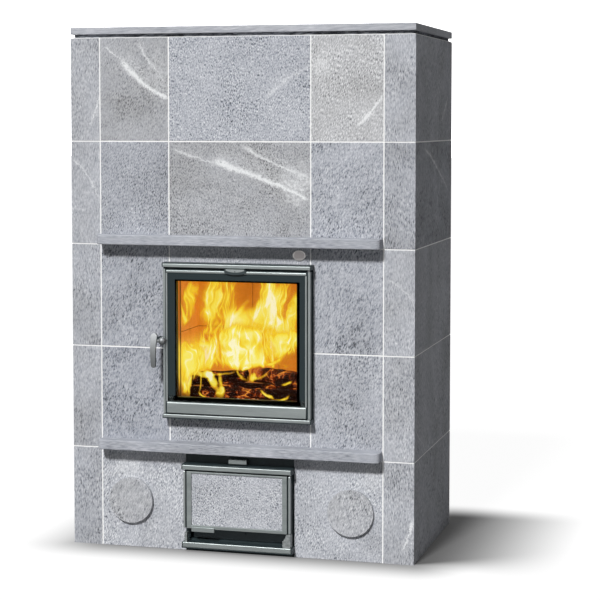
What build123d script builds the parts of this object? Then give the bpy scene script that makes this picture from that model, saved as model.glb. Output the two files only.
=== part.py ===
from build123d import *
import math
import os

# A free-standing tiled stove of soapstone, in millimetres. It stands on the floor at z = 0,
# its origin is the middle of its base, and it faces -Y. "Out" is a distance in front of the
# stone face, so a negative one lies inside the wall. All of the plan is symmetric about x = 0.

# Stone shell
JOINT = 4.0
JOINT_RECESS = 1.0
ARRIS = 1.0
SIDE_SLAB_T = 98.6
OUTER_TILE_W = 232.4
MIDDLE_TILE_W = 470.0
DEPTH = 611.0
FRONT_TILE_T = 60.0
BACK_SLAB_T = 60.0
BOTTOM_COURSE_H = 322.5
COURSE_H = 331.5
UPPER_COURSES = 4
LINTEL_TILE_H = 57.5
SILL_TILE_H = 117.5
NECK_H = 13.0
NECK_INSET = 10.5
TOP_SLAB_T = 22.5
TOP_SLAB_EDGE = 1.5

# Shelves, one over the fire door and one under it
SHELF_T = 32.0
SHELF_OUT = 50.0
SHELF_CORNER_R = 14.0
SHELF_TOP_R = 4.0
SHELF_BOTTOM_CHAMFER = 2.0
DOWEL_D = 12.0
DOWEL_IN_SHELF = 35.0
DOWEL_IN_TILE = 40.0
DOWEL_OUTER_X = 380.0
DOWEL_INNER_X = 120.0

# Blank oval plaque on the lintel tile
MEDALLION_W = 43.0
MEDALLION_H = 34.0
MEDALLION_T = 3.0
MEDALLION_INSET = 35.0
MEDALLION_DROP = 22.5

# Round covers over the cleaning holes
SOOT_D = 150.0
SOOT_T = 12.0
SOOT_EDGE = 1.5
SOOT_INSET = 101.4
SOOT_Z = 155.0
SOOT_HOLE_D = 120.0
SOOT_PLUG_L = 55.0
SOOT_PLUG_FACE_T = 3.0
SOOT_PLUG_WALL = 2.5
SOOT_GAP = 0.4

# Flue outlet low in the back
FLUE_BORE_D = 156.0
FLUE_WALL = 4.0
FLUE_DROP = 122.5

# Fire door casing
CASING_SIDE_LAP = 7.0
CASING_LAP = 3.5
FLANGE_T = 6.0
LIP_OUT = 10.0
TUBE_T = 8.0
CASING_IN = 70.0
CASING_FACE_W = 20.0
CASING_OPEN_MARGIN = 12.2
HOOD_T = 12.0
SILL_T = 11.0
HOOD_OUT = 40.0
TRIM_T = 4.0
TRIM_R = 2.5

# Fire door leaf
LEAF_TOP_GAP = 5.8
LEAF_BOTTOM_GAP = 2.8
LEAF_BACK = 15.0
LEAF_T = 18.0
EDGE_BAR_W = 8.0
EDGE_BAR_T = 4.0
STILE_W = 45.0
APERTURE_LOW = 53.7
APERTURE_HIGH = 38.2
SEAL_W = 6.0
SEAL_GAP = 0.4
BAND_RAISE = 1.7
BAND_H = 36.4
BAND_CHAMFER = 3.5
FRONT_PIECE_T = 8.0
FRONT_PIECE_GAP = 5.0
RAIL_DROP = 2.4
RAIL_H = 9.6
RAIL_R = 3.0
GLASS_T = 4.0
GLASS_SEAL_T = 1.0
GLASS_SEAL_W = 12.0
GLASS_GAP = 0.4
BEAD_W = 2.6
BEAD_GROOVE = 3.0
BEAD_LIP = 2.0
BEAD_LIP_T = 1.3

# Air slide over the glass
AIR_TRAVEL = 7.0
RUN_GAP = 0.3
AIR_STRIP_END = 3.0
AIR_END_GAP = 1.0
AIR_STRIP_H = 6.0
AIR_STRIP_T = 2.7
AIR_NECK_W = 40.0
AIR_TAB_W = 72.0
AIR_TAB_H = 17.5
AIR_TAB_SAG = 5.0
AIR_TAB_T = 4.0
AIR_TAB_DROP = 1.7
AIR_PORT_W = 14.0
AIR_PORT_H = 3.0
AIR_PORTS = 3
AIR_PORT_PITCH = 30.0

# Door hinges
HINGE_INSET = 8.0
PIN_D = 8.0
PIN_CLEARANCE = 0.05
PIN_IN_LEAF = 15.0
PIN_IN_HOOD = 7.5
PIN_COLLAR_D = 14.0
PIN_COLLAR_GAP = 0.4

# Handle and latch
HANDLE_INSET = 1.0
HANDLE_RISE = 236.0
SPINDLE_D = 10.0
SPINDLE_CLEARANCE = 0.05
BOSS_D = 19.0
BOSS_OUT = 40.5
HUB_D = 24.0
HUB_L = 9.5
HUB_SOCKET_L = 10.0
BLADE_X = 22.0
BLADE_UP = 26.0
BLADE_L = 113.0
BLADE_TOP_W = 21.0
BLADE_FOOT_W = 15.0
BLADE_T = 8.0
BLADE_OUT = 64.0
BLADE_BOW = 9.0
BLADE_TRIM = 1.0
ARM_D = 11.0
CAM_BACK = 8.0
CAM_T = 6.0
CAM_HUB_D = 15.0
CAM_ARM_L = 23.0
CAM_ARM_W = 8.0
KEEPER_H = 16.0
KEEPER_BASE_T = 5.0
KEEPER_REACH = 28.0
KEEPER_T = 2.4
KEEPER_LIP_L = 15.0
KEEPER_LIP_T = 3.2
KEEPER_GAP = 0.8

# Ash door casing
ASH_W = 364.0
ASH_STONE_GAP = 0.5
ASH_IN = 70.0
ASH_WALL = 14.0
ASH_FLOOR = 40.0
ASH_OPEN_DROP = 8.5
ASH_SILL_LOW = 19.0
ASH_SILL_T = 17.0
ASH_HOOD_T = 15.5
DUCT_FACE_H = 34.0
DUCT_WALL = 8.0
DUCT_MARGIN = 4.0

# Ash door leaf
ASH_LEAF_SIDE_GAP = 2.0
ASH_LEAF_RISE = 45.0
ASH_LEAF_TOP_GAP = 5.5
ASH_LEAF_BACK = 12.0
ASH_LEAF_T = 16.0
ASH_PAN_T = 2.0
ASH_EDGE_BAR_W = 7.0
ASH_FRONT_T = 8.0
ASH_GROOVE_W = 4.5
ASH_FRAME_SIDE = 16.0
ASH_PANEL_T = 19.0
ASH_PANEL_GAP = 0.5
ASH_FRAME_TOP = 6.0
ASH_FRAME_FOOT = 11.0
ASH_PULL_W = 77.0
ASH_PULL_H = 15.0
ASH_PULL_T = 4.0
ASH_PULL_INSET = 17.5
ASH_PULL_DROP = 9.5
ASH_HINGE_INSET = 6.0
ASH_PIN_IN_LEAF = 16.0
ASH_PIN_IN_HOOD = 9.5
ASH_PIN_IN_BRACKET = 20.0
BRACKET_W = 26.0
BRACKET_LOW_H = 22.0
BRACKET_GAP = 1.4
BRACKET_BACK = 12.0
BRACKET_BEND = 1.5
POST_INSET = 10.0
POST_W = 8.0
POST_H = 30.0
POST_T = 16.0

# Primary air slide over the ash door
DAMPER_TRAVEL = 20.0
DAMPER_TAB_W = 60.0
DAMPER_TAB_H = 17.0
DAMPER_TAB_T = 14.0
DAMPER_TAB_OUT = 8.0
DAMPER_TAB_LIFT = 5.5
DAMPER_NECK_W = 16.0
DAMPER_NECK_H = 5.4
DAMPER_SLOT_W = 60.0
DAMPER_SLOT_H = 6.4
DAMPER_GAP = 0.4
DAMPER_T = 2.5
DAMPER_END_GAP = 2.0
DAMPER_L = 40.0
DAMPER_IN = 10.0
DAMPER_PORT_X = 100.0
DAMPER_PORT_W = 40.0
DAMPER_PORT_L = 20.0

# Ash box
ASH_BOX_W = 224.0
ASH_BOX_H = 70.0
ASH_BOX_SHEET = 2.0
ASH_BOX_SET_BACK = 12.0
ASH_BOX_GAP = 0.5
ASH_BOX_END_GAP = 3.5
ASH_KNOB_D = 7.0
ASH_KNOB_L = 8.0
ASH_KNOB_X = 14.0
ASH_KNOB_RISE = 21.0

# Core
CORE_GAP = 1.0
PLINTH_GAP = 2.0
HEARTH_RISE = 3.5
FLOOR_T = 40.0
LINING_INSET = 4.0
LINING_T = 40.0
LINING_OVER = 75.5
LINING_SEAM = 2.0
LINING_COURSE_H = 234.5
REAR_CHANNEL_L = 138.5
UPPER_BRICK_SPLIT_X = -31.0
LOWER_BRICK_SPLIT_X = 60.0
GRATE_W = 200.0
GRATE_END_MARGIN = 20.0
GRATE_T = 15.0
GRATE_LEDGE = 10.0
GRATE_RIM = 14.0
GRATE_BARS = 9
GRATE_BAR_W = 10.0
GRATE_GAP = 0.5
THROAT_T = 50.0
THROAT_W = 300.0
THROAT_L = 70.0
CORE_WALL_T = 40.0
CORE_BACK_T = 120.0
SMOKE_WINDOW_H = 120.0
CEILING_T = 50.0
INSULATION_T = 54.5

# The fire: a bed of embers and four burnt logs, two lying across and two resting on them
EMBERS_T = 14.0
EMBERS_CHAMFER = 6.0
EMBERS_MARGIN = 14.0
LOW_LOG_D = 42.0
LOW_LOG_L = 385.0
LOW_LOG_IN = 27.0
LOG_SHIFT = 6.0
LOG_OVERHANG = 6.5
BIG_LOG_D = 58.0
BIG_LOG_X = 84.0
BIG_LOG_SPAN = 176.0
SLIM_LOG_D = 46.0
SLIM_LOG_X = -118.0
SLIM_LOG_SPAN = 156.0

# Lines worked out from the sizes above
FRONT = -DEPTH / 2
BACK = DEPTH / 2
MIDDLE_EDGE = MIDDLE_TILE_W / 2
OUTER_IN = MIDDLE_EDGE + JOINT
OUTER_OUT = OUTER_IN + OUTER_TILE_W
SIDE_IN = OUTER_OUT + JOINT
SIDE_OUT = SIDE_IN + SIDE_SLAB_T
COURSES = [(0.0, BOTTOM_COURSE_H)]
for index in range(UPPER_COURSES):
    low = BOTTOM_COURSE_H + JOINT + index * (COURSE_H + JOINT)
    COURSES.append((low, low + COURSE_H))
BODY_TOP = COURSES[-1][1]
SHELF_COURSES = {"lower_shelf": 1, "upper_shelf": 3}
SOOT_X = OUTER_OUT - SOOT_INSET
FLUE_Z = BOTTOM_COURSE_H - FLUE_DROP
DOOR_LOW = COURSES[1][0] + SILL_TILE_H
DOOR_HIGH = COURSES[2][1] - LINTEL_TILE_H

CASING_EDGE = OUTER_IN + CASING_SIDE_LAP
CASING_LOW = DOOR_LOW - CASING_LAP
CASING_HIGH = DOOR_HIGH + CASING_LAP
LEAF_LOW = CASING_LOW + SILL_T + LEAF_BOTTOM_GAP
LEAF_HIGH = CASING_HIGH - HOOD_T - LEAF_TOP_GAP
LEAF_FRONT = LEAF_BACK + LEAF_T
OPEN_EDGE = CASING_EDGE - CASING_FACE_W
OPEN_LOW = LEAF_LOW + CASING_OPEN_MARGIN
OPEN_HIGH = LEAF_HIGH - CASING_OPEN_MARGIN
BAND_LOW = LEAF_LOW + BAND_RAISE
BAND_HIGH = BAND_LOW + BAND_H
RAIL_HIGH = LEAF_HIGH - RAIL_DROP
RAIL_LOW = RAIL_HIGH - RAIL_H
RAIL_MID = (RAIL_LOW + RAIL_HIGH) / 2
FRONT_PIECE_OUT = LEAF_FRONT + FRONT_PIECE_T
WELL_EDGE = CASING_EDGE - EDGE_BAR_W
FRONT_PIECE_EDGE = WELL_EDGE - FRONT_PIECE_GAP
BEAD_EDGE = WELL_EDGE - BEAD_GROOVE
GLASS_EDGE = BEAD_EDGE - BEAD_W - GLASS_GAP
APERTURE_EDGE = CASING_EDGE - STILE_W
HINGE_X = CASING_EDGE - HINGE_INSET
HINGE_Y = FRONT - LEAF_BACK - LEAF_T / 2
HANDLE_X = -CASING_EDGE + HANDLE_INSET
HANDLE_Z = LEAF_LOW + HANDLE_RISE

ASH_EDGE = ASH_W / 2
ASH_CASING_TOP = BOTTOM_COURSE_H - ASH_STONE_GAP
ASH_SILL_HIGH = ASH_SILL_LOW + ASH_SILL_T
ASH_HOOD_HIGH = ASH_CASING_TOP - DUCT_FACE_H
ASH_HOOD_LOW = ASH_HOOD_HIGH - ASH_HOOD_T
ASH_OPEN_TOP = ASH_HOOD_LOW - ASH_OPEN_DROP
ASH_LEAF_LOW = ASH_SILL_HIGH + ASH_LEAF_RISE
ASH_LEAF_HIGH = ASH_HOOD_LOW - ASH_LEAF_TOP_GAP
ASH_LEAF_EDGE = ASH_EDGE - ASH_LEAF_SIDE_GAP
ASH_FRAME_EDGE = ASH_LEAF_EDGE - ASH_EDGE_BAR_W - ASH_GROOVE_W
ASH_POCKET_EDGE = ASH_FRAME_EDGE - ASH_FRAME_SIDE
ASH_LEAF_FRONT = ASH_LEAF_BACK + ASH_LEAF_T
ASH_FRAME_OUT = ASH_LEAF_FRONT + ASH_FRONT_T
ASH_HINGE_X = ASH_LEAF_EDGE - ASH_HINGE_INSET
ASH_HINGE_Y = FRONT - ASH_LEAF_BACK - ASH_LEAF_T / 2
DUCT_LOW = ASH_HOOD_HIGH + DUCT_MARGIN
DUCT_HIGH = ASH_CASING_TOP - DUCT_MARGIN
DAMPER_Z = ASH_HOOD_HIGH + DAMPER_TAB_LIFT + DAMPER_TAB_H / 2

CORE_FRONT = FRONT + max(CASING_IN, ASH_IN) + CORE_GAP
CORE_REAR = BACK - BACK_SLAB_T - REAR_CHANNEL_L
CORE_BACK = CORE_REAR - CORE_BACK_T
LINING_BACK = CORE_BACK - LINING_SEAM
LINING_BACK_Y = LINING_BACK - LINING_T
FLOOR_TOP = OPEN_LOW + HEARTH_RISE
PLINTH_TOP = FLOOR_TOP - FLOOR_T
PLINTH_EDGE = ASH_EDGE + PLINTH_GAP
FIREBOX_EDGE = OPEN_EDGE - LINING_INSET
LINING_EDGE = FIREBOX_EDGE + LINING_T
LINING_TOP = OPEN_HIGH + LINING_OVER
GRATE_Y = (CORE_FRONT + LINING_BACK_Y) / 2
GRATE_L = LINING_BACK_Y - CORE_FRONT - 2 * GRATE_END_MARGIN
CORE_EDGE = LINING_EDGE + LINING_SEAM
CEILING_Z = BODY_TOP - INSULATION_T - CEILING_T
CORE_WALL_TOP = CEILING_Z - SMOKE_WINDOW_H


def block(x_low, x_high, y_low, y_high, z_low, z_high):
    """A block between two corners."""
    middle = ((x_low + x_high) / 2, (y_low + y_high) / 2, (z_low + z_high) / 2)
    return Pos(*middle) * Box(x_high - x_low, y_high - y_low, z_high - z_low)


def panel(x_low, x_high, z_low, z_high):
    """A rectangle seen from the front, to be raised."""
    middle = ((x_low + x_high) / 2, (z_low + z_high) / 2)
    return Pos(*middle) * Rectangle(x_high - x_low, z_high - z_low)


def raised(sketch, out_low, out_high):
    """A front sketch made into a plate between two distances out."""
    return extrude(Plane.XZ.offset(DEPTH / 2 + out_low) * sketch, amount=out_high - out_low)


def rod(x, z, diameter, out_low, out_high):
    """A round bar or bore that runs front to back."""
    return raised(Pos(x, z) * Circle(diameter / 2), out_low, out_high)


def pin(x, y, diameter, z_low, z_high):
    """A round bar or bore that runs upright."""
    return Pos(x, y, (z_low + z_high) / 2) * Cylinder(diameter / 2, z_high - z_low)


def tile(x_low, x_high, z_low, z_high):
    """A front tile with its face arrises taken off."""
    stone = block(x_low, x_high, FRONT, FRONT + FRONT_TILE_T, z_low, z_high)
    return chamfer(stone.faces().sort_by(Axis.Y)[0].edges(), ARRIS)


def front_tiles():
    """The fourteen tiles of the face, by node name, top row first."""
    tiles = {}
    for row, (z_low, z_high) in enumerate(reversed(COURSES), start=1):
        inner = ASH_EDGE + ASH_STONE_GAP if row == len(COURSES) else OUTER_IN
        tiles[f"tile_row{row}_left"] = tile(-OUTER_OUT, -inner, z_low, z_high)
        tiles[f"tile_row{row}_right"] = tile(inner, OUTER_OUT, z_low, z_high)
        if row < 3:
            tiles[f"tile_row{row}_middle"] = tile(-MIDDLE_EDGE, MIDDLE_EDGE, z_low, z_high)
    tiles["lintel_tile"] = tile(-MIDDLE_EDGE, MIDDLE_EDGE, DOOR_HIGH, COURSES[2][1])
    tiles["sill_tile"] = tile(-MIDDLE_EDGE, MIDDLE_EDGE, COURSES[1][0], DOOR_LOW)
    bores = [(x, z, DOWEL_D, -DOWEL_IN_TILE) for x, z in dowel_places()]
    bores += [(side * SOOT_X, SOOT_Z, SOOT_HOLE_D, -FRONT_TILE_T) for side in (-1, 1)]
    for name, stone in tiles.items():
        box = stone.bounding_box()
        for x, z, diameter, end in bores:
            if box.min.X < x < box.max.X and box.min.Z < z < box.max.Z:
                tiles[name] -= rod(x, z, diameter, end, 0)
    return tiles


def side_slabs():
    """The full-depth slabs of both sides, a slab to each course."""
    slabs = []
    for side in (-1, 1):
        edges = sorted((side * SIDE_IN, side * SIDE_OUT))
        slabs += [block(*edges, FRONT, BACK, z_low, z_high) for z_low, z_high in COURSES]
    return slabs


def back_slabs():
    """The back slabs between the sides, the lowest with the flue hole."""
    slabs = []
    for z_low, z_high in COURSES:
        slabs.append(block(-OUTER_OUT, OUTER_OUT, BACK - BACK_SLAB_T, BACK, z_low, z_high))
    hole_d = FLUE_BORE_D + 2 * FLUE_WALL
    slabs[0] -= rod(0, FLUE_Z, hole_d, -DEPTH, -DEPTH + BACK_SLAB_T)
    return slabs


def joint_mortar():
    """Pale mortar in every joint of the shell, set a little behind the stone faces."""
    face = FRONT + JOINT_RECESS
    rear = BACK - JOINT_RECESS
    side = SIDE_OUT - JOINT_RECESS
    mortar = None
    for _, z_low in COURSES[:-1]:
        z_high = z_low + JOINT
        bed = block(-side, side, face, rear, z_low, z_high)
        bed -= block(-SIDE_IN, SIDE_IN, FRONT + FRONT_TILE_T, BACK - BACK_SLAB_T, z_low, z_high)
        if DOOR_LOW < z_low < DOOR_HIGH:
            bed -= block(-OUTER_IN, OUTER_IN, face, FRONT + FRONT_TILE_T, z_low, z_high)
        mortar = bed if mortar is None else mortar + bed
    uprights = [(OUTER_OUT, SIDE_IN, z_low, z_high) for z_low, z_high in COURSES]
    uprights += [(MIDDLE_EDGE, OUTER_IN, z_low, z_high) for z_low, z_high in COURSES[3:]]
    uprights.append((MIDDLE_EDGE, OUTER_IN, DOOR_HIGH, COURSES[2][1]))
    uprights.append((MIDDLE_EDGE, OUTER_IN, COURSES[1][0], DOOR_LOW))
    for inner, outer, z_low, z_high in uprights:
        for side in (-1, 1):
            edges = sorted((side * inner, side * outer))
            mortar += block(*edges, face, FRONT + FRONT_TILE_T, z_low, z_high)
            if inner == OUTER_OUT:
                mortar += block(*edges, BACK - BACK_SLAB_T, rear, z_low, z_high)
    return mortar


def top_slab():
    """The thin cover slab, flush with the body, over its recessed neck."""
    low = BODY_TOP + NECK_H
    slab = block(-SIDE_OUT, SIDE_OUT, FRONT, BACK, low, low + TOP_SLAB_T)
    return chamfer(slab.faces().sort_by(Axis.Z)[-1].edges(), TOP_SLAB_EDGE)


def neck_course():
    """The set-back course under the cover slab."""
    side = SIDE_OUT - NECK_INSET
    depth = BACK - NECK_INSET
    return block(-side, side, -depth, depth, BODY_TOP, BODY_TOP + NECK_H)


def shelf(z_low):
    """A shelf slab with round front corners and an eased top edge."""
    stone = block(-OUTER_OUT, OUTER_OUT, FRONT - SHELF_OUT, FRONT, z_low, z_low + SHELF_T)
    stone = fillet(stone.edges().filter_by(Axis.Z).sort_by(Axis.Y)[:2], SHELF_CORNER_R)
    top_edges = stone.faces().sort_by(Axis.Z)[-1].edges().sort_by(Axis.Y)[:-1]
    stone = fillet(top_edges, SHELF_TOP_R)
    foot_edges = stone.faces().sort_by(Axis.Z)[0].edges().sort_by(Axis.Y)[:-1]
    stone = chamfer(foot_edges, SHELF_BOTTOM_CHAMFER)
    for x, z in dowel_places():
        if z_low < z < z_low + SHELF_T:
            stone -= rod(x, z, DOWEL_D, 0, DOWEL_IN_SHELF)
    return stone


def dowel_places():
    """Middles of the dowels, four to a shelf."""
    lines = [COURSES[course][0] + SHELF_T / 2 for course in SHELF_COURSES.values()]
    across = (-DOWEL_OUTER_X, -DOWEL_INNER_X, DOWEL_INNER_X, DOWEL_OUTER_X)
    return [(x, z) for z in lines for x in across]


def shelf_dowels():
    """The steel dowels that carry the shelves."""
    return [rod(x, z, DOWEL_D, -DOWEL_IN_TILE, DOWEL_IN_SHELF) for x, z in dowel_places()]


def medallion():
    """The blank oval plaque, slightly domed at its rim."""
    place = Pos(MIDDLE_EDGE - MEDALLION_INSET, COURSES[2][1] - MEDALLION_DROP)
    outline = place * Ellipse(MEDALLION_W / 2, MEDALLION_H / 2)
    plaque = raised(outline, 0, MEDALLION_T)
    return fillet(plaque.faces().sort_by(Axis.Y)[0].edges(), MEDALLION_T / 3)


def soot_cover(side):
    """A round stone cover."""
    disc = rod(side * SOOT_X, SOOT_Z, SOOT_D, SOOT_GAP, SOOT_GAP + SOOT_T)
    return fillet(disc.faces().sort_by(Axis.Y)[0].edges(), SOOT_EDGE)


def soot_plug(side):
    """The steel cup behind a stone cover, open to the inside."""
    x = side * SOOT_X
    outer_d = SOOT_HOLE_D - 2 * SOOT_GAP
    cup = rod(x, SOOT_Z, outer_d, -SOOT_PLUG_L, SOOT_GAP)
    hollow_d = outer_d - 2 * SOOT_PLUG_WALL
    return cup - rod(x, SOOT_Z, hollow_d, -SOOT_PLUG_L, SOOT_GAP - SOOT_PLUG_FACE_T)


def flue_collar():
    """The steel ring that lines the flue hole."""
    outer = rod(0, FLUE_Z, FLUE_BORE_D + 2 * FLUE_WALL, -DEPTH, -DEPTH + BACK_SLAB_T)
    return outer - rod(0, FLUE_Z, FLUE_BORE_D, -DEPTH, -DEPTH + BACK_SLAB_T)


def fire_door_casing():
    """The black casing: flange, lip, tube through the wall, hood and sill plates."""
    opening = panel(-OPEN_EDGE, OPEN_EDGE, OPEN_LOW, OPEN_HIGH)
    flange = panel(-CASING_EDGE, CASING_EDGE, CASING_LOW, CASING_HIGH)
    tube = panel(-OPEN_EDGE - TUBE_T, OPEN_EDGE + TUBE_T, OPEN_LOW - TUBE_T, OPEN_HIGH + TUBE_T)
    casing = raised(flange - opening, 0, FLANGE_T) + raised(tube - opening, -CASING_IN, LIP_OUT)
    plate_out = HOOD_OUT - TRIM_T
    hood = panel(-CASING_EDGE, CASING_EDGE, CASING_HIGH - HOOD_T, CASING_HIGH)
    sill = panel(-CASING_EDGE, CASING_EDGE, CASING_LOW, CASING_LOW + SILL_T)
    casing += raised(hood, 0, plate_out)
    casing += raised(sill, 0, plate_out)
    for span in hinge_pin_spans():
        casing -= pin(HINGE_X, HINGE_Y, PIN_D, *span)
    return casing


def hinge_pin_spans():
    """From where to where the lower and the upper hinge pin reach."""
    lower = (CASING_LOW + SILL_T - PIN_IN_HOOD, LEAF_LOW + PIN_IN_LEAF)
    upper = (LEAF_HIGH - PIN_IN_LEAF, CASING_HIGH - HOOD_T + PIN_IN_HOOD)
    return lower, upper


def fire_door_hinge_pins():
    """A collared pin under the leaf and a plain one over it."""
    lower, upper = hinge_pin_spans()
    seat = CASING_LOW + SILL_T
    collar = pin(HINGE_X, HINGE_Y, PIN_COLLAR_D, seat, LEAF_LOW - PIN_COLLAR_GAP)
    return [pin(HINGE_X, HINGE_Y, PIN_D, *lower) + collar, pin(HINGE_X, HINGE_Y, PIN_D, *upper)]


def trim_bar(half_width, z_low, z_high, out):
    """A bright bar with rounded edges along the front of a hood or sill plate."""
    bar = raised(panel(-half_width, half_width, z_low, z_high), out - TRIM_T, out)
    return fillet(bar.faces().sort_by(Axis.Y)[0].edges(), TRIM_R)


def casing_trim_bars():
    """The four bright bars: over and under each of the two doors."""
    return [
        trim_bar(CASING_EDGE, CASING_HIGH - HOOD_T, CASING_HIGH, HOOD_OUT),
        trim_bar(CASING_EDGE, CASING_LOW, CASING_LOW + SILL_T, HOOD_OUT),
        trim_bar(ASH_EDGE, ASH_HOOD_LOW, ASH_HOOD_HIGH, HOOD_OUT),
        trim_bar(ASH_EDGE, ASH_SILL_LOW, ASH_SILL_HIGH, HOOD_OUT),
    ]


def air_port_places():
    """Middles of the air ports, a row to each side of the tab."""
    first = AIR_TAB_W / 2 + AIR_TRAVEL
    steps = [first + index * AIR_PORT_PITCH for index in range(AIR_PORTS)]
    return [side * x for side in (-1, 1) for x in steps]


def air_strip_edge():
    """Half the length of the sliding strip, past its last port and that port's travel."""
    return max(air_port_places()) + AIR_PORT_W / 2 + AIR_TRAVEL + AIR_STRIP_END


def fire_door_leaf():
    """The black leaf: a frame round the glass, with the handle boss and pin bores."""
    outline = panel(-CASING_EDGE, CASING_EDGE, LEAF_LOW, LEAF_HIGH)
    low, high = LEAF_LOW + APERTURE_LOW, LEAF_HIGH - APERTURE_HIGH
    outline -= panel(-APERTURE_EDGE, APERTURE_EDGE, low, high)
    leaf = raised(outline, LEAF_BACK, LEAF_FRONT)
    leaf += rod(HANDLE_X, HANDLE_Z, BOSS_D, LEAF_BACK, BOSS_OUT)
    leaf -= rod(HANDLE_X, HANDLE_Z, SPINDLE_D + 2 * SPINDLE_CLEARANCE, LEAF_BACK, BOSS_OUT)
    for z_low, z_high in hinge_pin_spans():
        bore_d = PIN_D + 2 * PIN_CLEARANCE
        leaf -= pin(HINGE_X, HINGE_Y, bore_d, z_low - PIN_COLLAR_GAP, z_high + PIN_COLLAR_GAP)
    for x in air_port_places():
        port = Pos(x, RAIL_MID) * Rectangle(AIR_PORT_W, AIR_PORT_H)
        leaf -= raised(port, LEAF_BACK, LEAF_FRONT)
    return leaf


def fire_door_edge_bars():
    """The bright upright bars along both edges of the leaf."""
    bars = []
    for side in (-1, 1):
        edges = sorted((side * CASING_EDGE, side * WELL_EDGE))
        bar = raised(panel(*edges, LEAF_LOW, LEAF_HIGH), LEAF_FRONT, LEAF_FRONT + EDGE_BAR_T)
        bar = fillet(bar.faces().sort_by(Axis.Y)[0].edges().filter_by(Axis.Z), EDGE_BAR_T / 3)
        bars.append(bar - rod(HANDLE_X, HANDLE_Z, BOSS_D, LEAF_FRONT, BOSS_OUT))
    return bars


def ring(half_width, z_low, z_high, width, out_low, out_high):
    """A rectangular ring of a cord or tape."""
    outline = panel(-half_width, half_width, z_low, z_high)
    inner = half_width - width
    outline -= panel(-inner, inner, z_low + width, z_high - width)
    return raised(outline, out_low, out_high)


def door_rope():
    """The rope between leaf and lip, in the leaf's keeping."""
    inset = (TUBE_T - SEAL_W) / 2
    edge = OPEN_EDGE + TUBE_T - inset
    span = (OPEN_LOW - TUBE_T + inset, OPEN_HIGH + TUBE_T - inset)
    return ring(edge, *span, SEAL_W, LIP_OUT + SEAL_GAP, LEAF_BACK)


def glass_lines():
    """Lower and upper edge of the glass, between the band and the rail."""
    return BAND_HIGH + GLASS_GAP, RAIL_LOW - GLASS_GAP


def fire_door_glass():
    """The ceramic glass pane."""
    low, high = glass_lines()
    back = LEAF_FRONT + GLASS_SEAL_T
    return raised(panel(-GLASS_EDGE, GLASS_EDGE, low, high), back, back + GLASS_T)


def glass_tape():
    """The flat tape between glass and leaf, round the clear opening."""
    edge = APERTURE_EDGE + GLASS_SEAL_W
    low, high = LEAF_LOW + APERTURE_LOW - GLASS_SEAL_W, LEAF_HIGH - APERTURE_HIGH + GLASS_SEAL_W
    return ring(edge, low, high, GLASS_SEAL_W, LEAF_FRONT, LEAF_FRONT + GLASS_SEAL_T)


def glass_beads():
    """An upright bead at each side of the glass, with a lip over its edge."""
    low, high = glass_lines()
    glass_face = LEAF_FRONT + GLASS_SEAL_T + GLASS_T + GLASS_GAP
    beads = []
    for side in (-1, 1):
        body = sorted((side * (BEAD_EDGE - BEAD_W), side * BEAD_EDGE))
        lip = sorted((side * (GLASS_EDGE - BEAD_LIP), side * BEAD_EDGE))
        bead = raised(panel(*body, low, high), LEAF_FRONT, glass_face)
        beads.append(bead + raised(panel(*lip, low, high), glass_face, glass_face + BEAD_LIP_T))
    return beads


def fire_door_band():
    """The flat plate under the glass, bevelled along its top."""
    outline = panel(-FRONT_PIECE_EDGE, FRONT_PIECE_EDGE, BAND_LOW, BAND_HIGH)
    band = raised(outline, LEAF_FRONT, FRONT_PIECE_OUT)
    top_front = band.faces().sort_by(Axis.Y)[0].edges().sort_by(Axis.Z)[-1]
    return chamfer(top_front, BAND_CHAMFER)


def fire_door_top_rails():
    """The two rail lengths over the glass, channelled behind for the air slide."""
    channel_h = AIR_STRIP_H + 2 * RUN_GAP
    channel_t = AIR_STRIP_T + 2 * RUN_GAP
    inner = AIR_NECK_W / 2 + AIR_TRAVEL + AIR_END_GAP
    strip_end = air_strip_edge() + AIR_TRAVEL + AIR_END_GAP
    rails = []
    for side in (-1, 1):
        edges = sorted((side * inner, side * FRONT_PIECE_EDGE))
        rail = raised(panel(*edges, RAIL_LOW, RAIL_HIGH), LEAF_FRONT, FRONT_PIECE_OUT)
        long_edges = rail.faces().sort_by(Axis.Y)[0].edges().filter_by(Axis.X)
        rail = fillet(long_edges, RAIL_R)
        cut = sorted((side * inner, side * strip_end))
        channel = panel(*cut, RAIL_MID - channel_h / 2, RAIL_MID + channel_h / 2)
        rails.append(rail - raised(channel, LEAF_FRONT, LEAF_FRONT + channel_t))
    return rails


def air_wash_slide():
    """The sliding strip that meets the air ports, with its neck and finger tab."""
    back = LEAF_FRONT + RUN_GAP
    half_h = AIR_STRIP_H / 2
    edge = air_strip_edge()
    strip = panel(-edge, edge, RAIL_MID - half_h, RAIL_MID + half_h)
    for x in air_port_places():
        strip -= Pos(x - AIR_TRAVEL, RAIL_MID) * Rectangle(AIR_PORT_W, AIR_PORT_H)
    slide = raised(strip, back, back + AIR_STRIP_T)
    tab_out = FRONT_PIECE_OUT + RUN_GAP
    neck = panel(-AIR_NECK_W / 2, AIR_NECK_W / 2, RAIL_MID - half_h, RAIL_MID + half_h)
    slide += raised(neck, back + AIR_STRIP_T, tab_out)
    high = CASING_HIGH - HOOD_T - AIR_TAB_DROP
    low = high - AIR_TAB_H
    half_w = AIR_TAB_W / 2
    shoulder = low + AIR_TAB_SAG
    sides = Polyline((-half_w, shoulder), (-half_w, high), (half_w, high), (half_w, shoulder))
    belly = ThreePointArc((half_w, shoulder), (0, low), (-half_w, shoulder))
    tab = raised(make_face(sides + belly), tab_out, tab_out + AIR_TAB_T)
    return slide + tab


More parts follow.
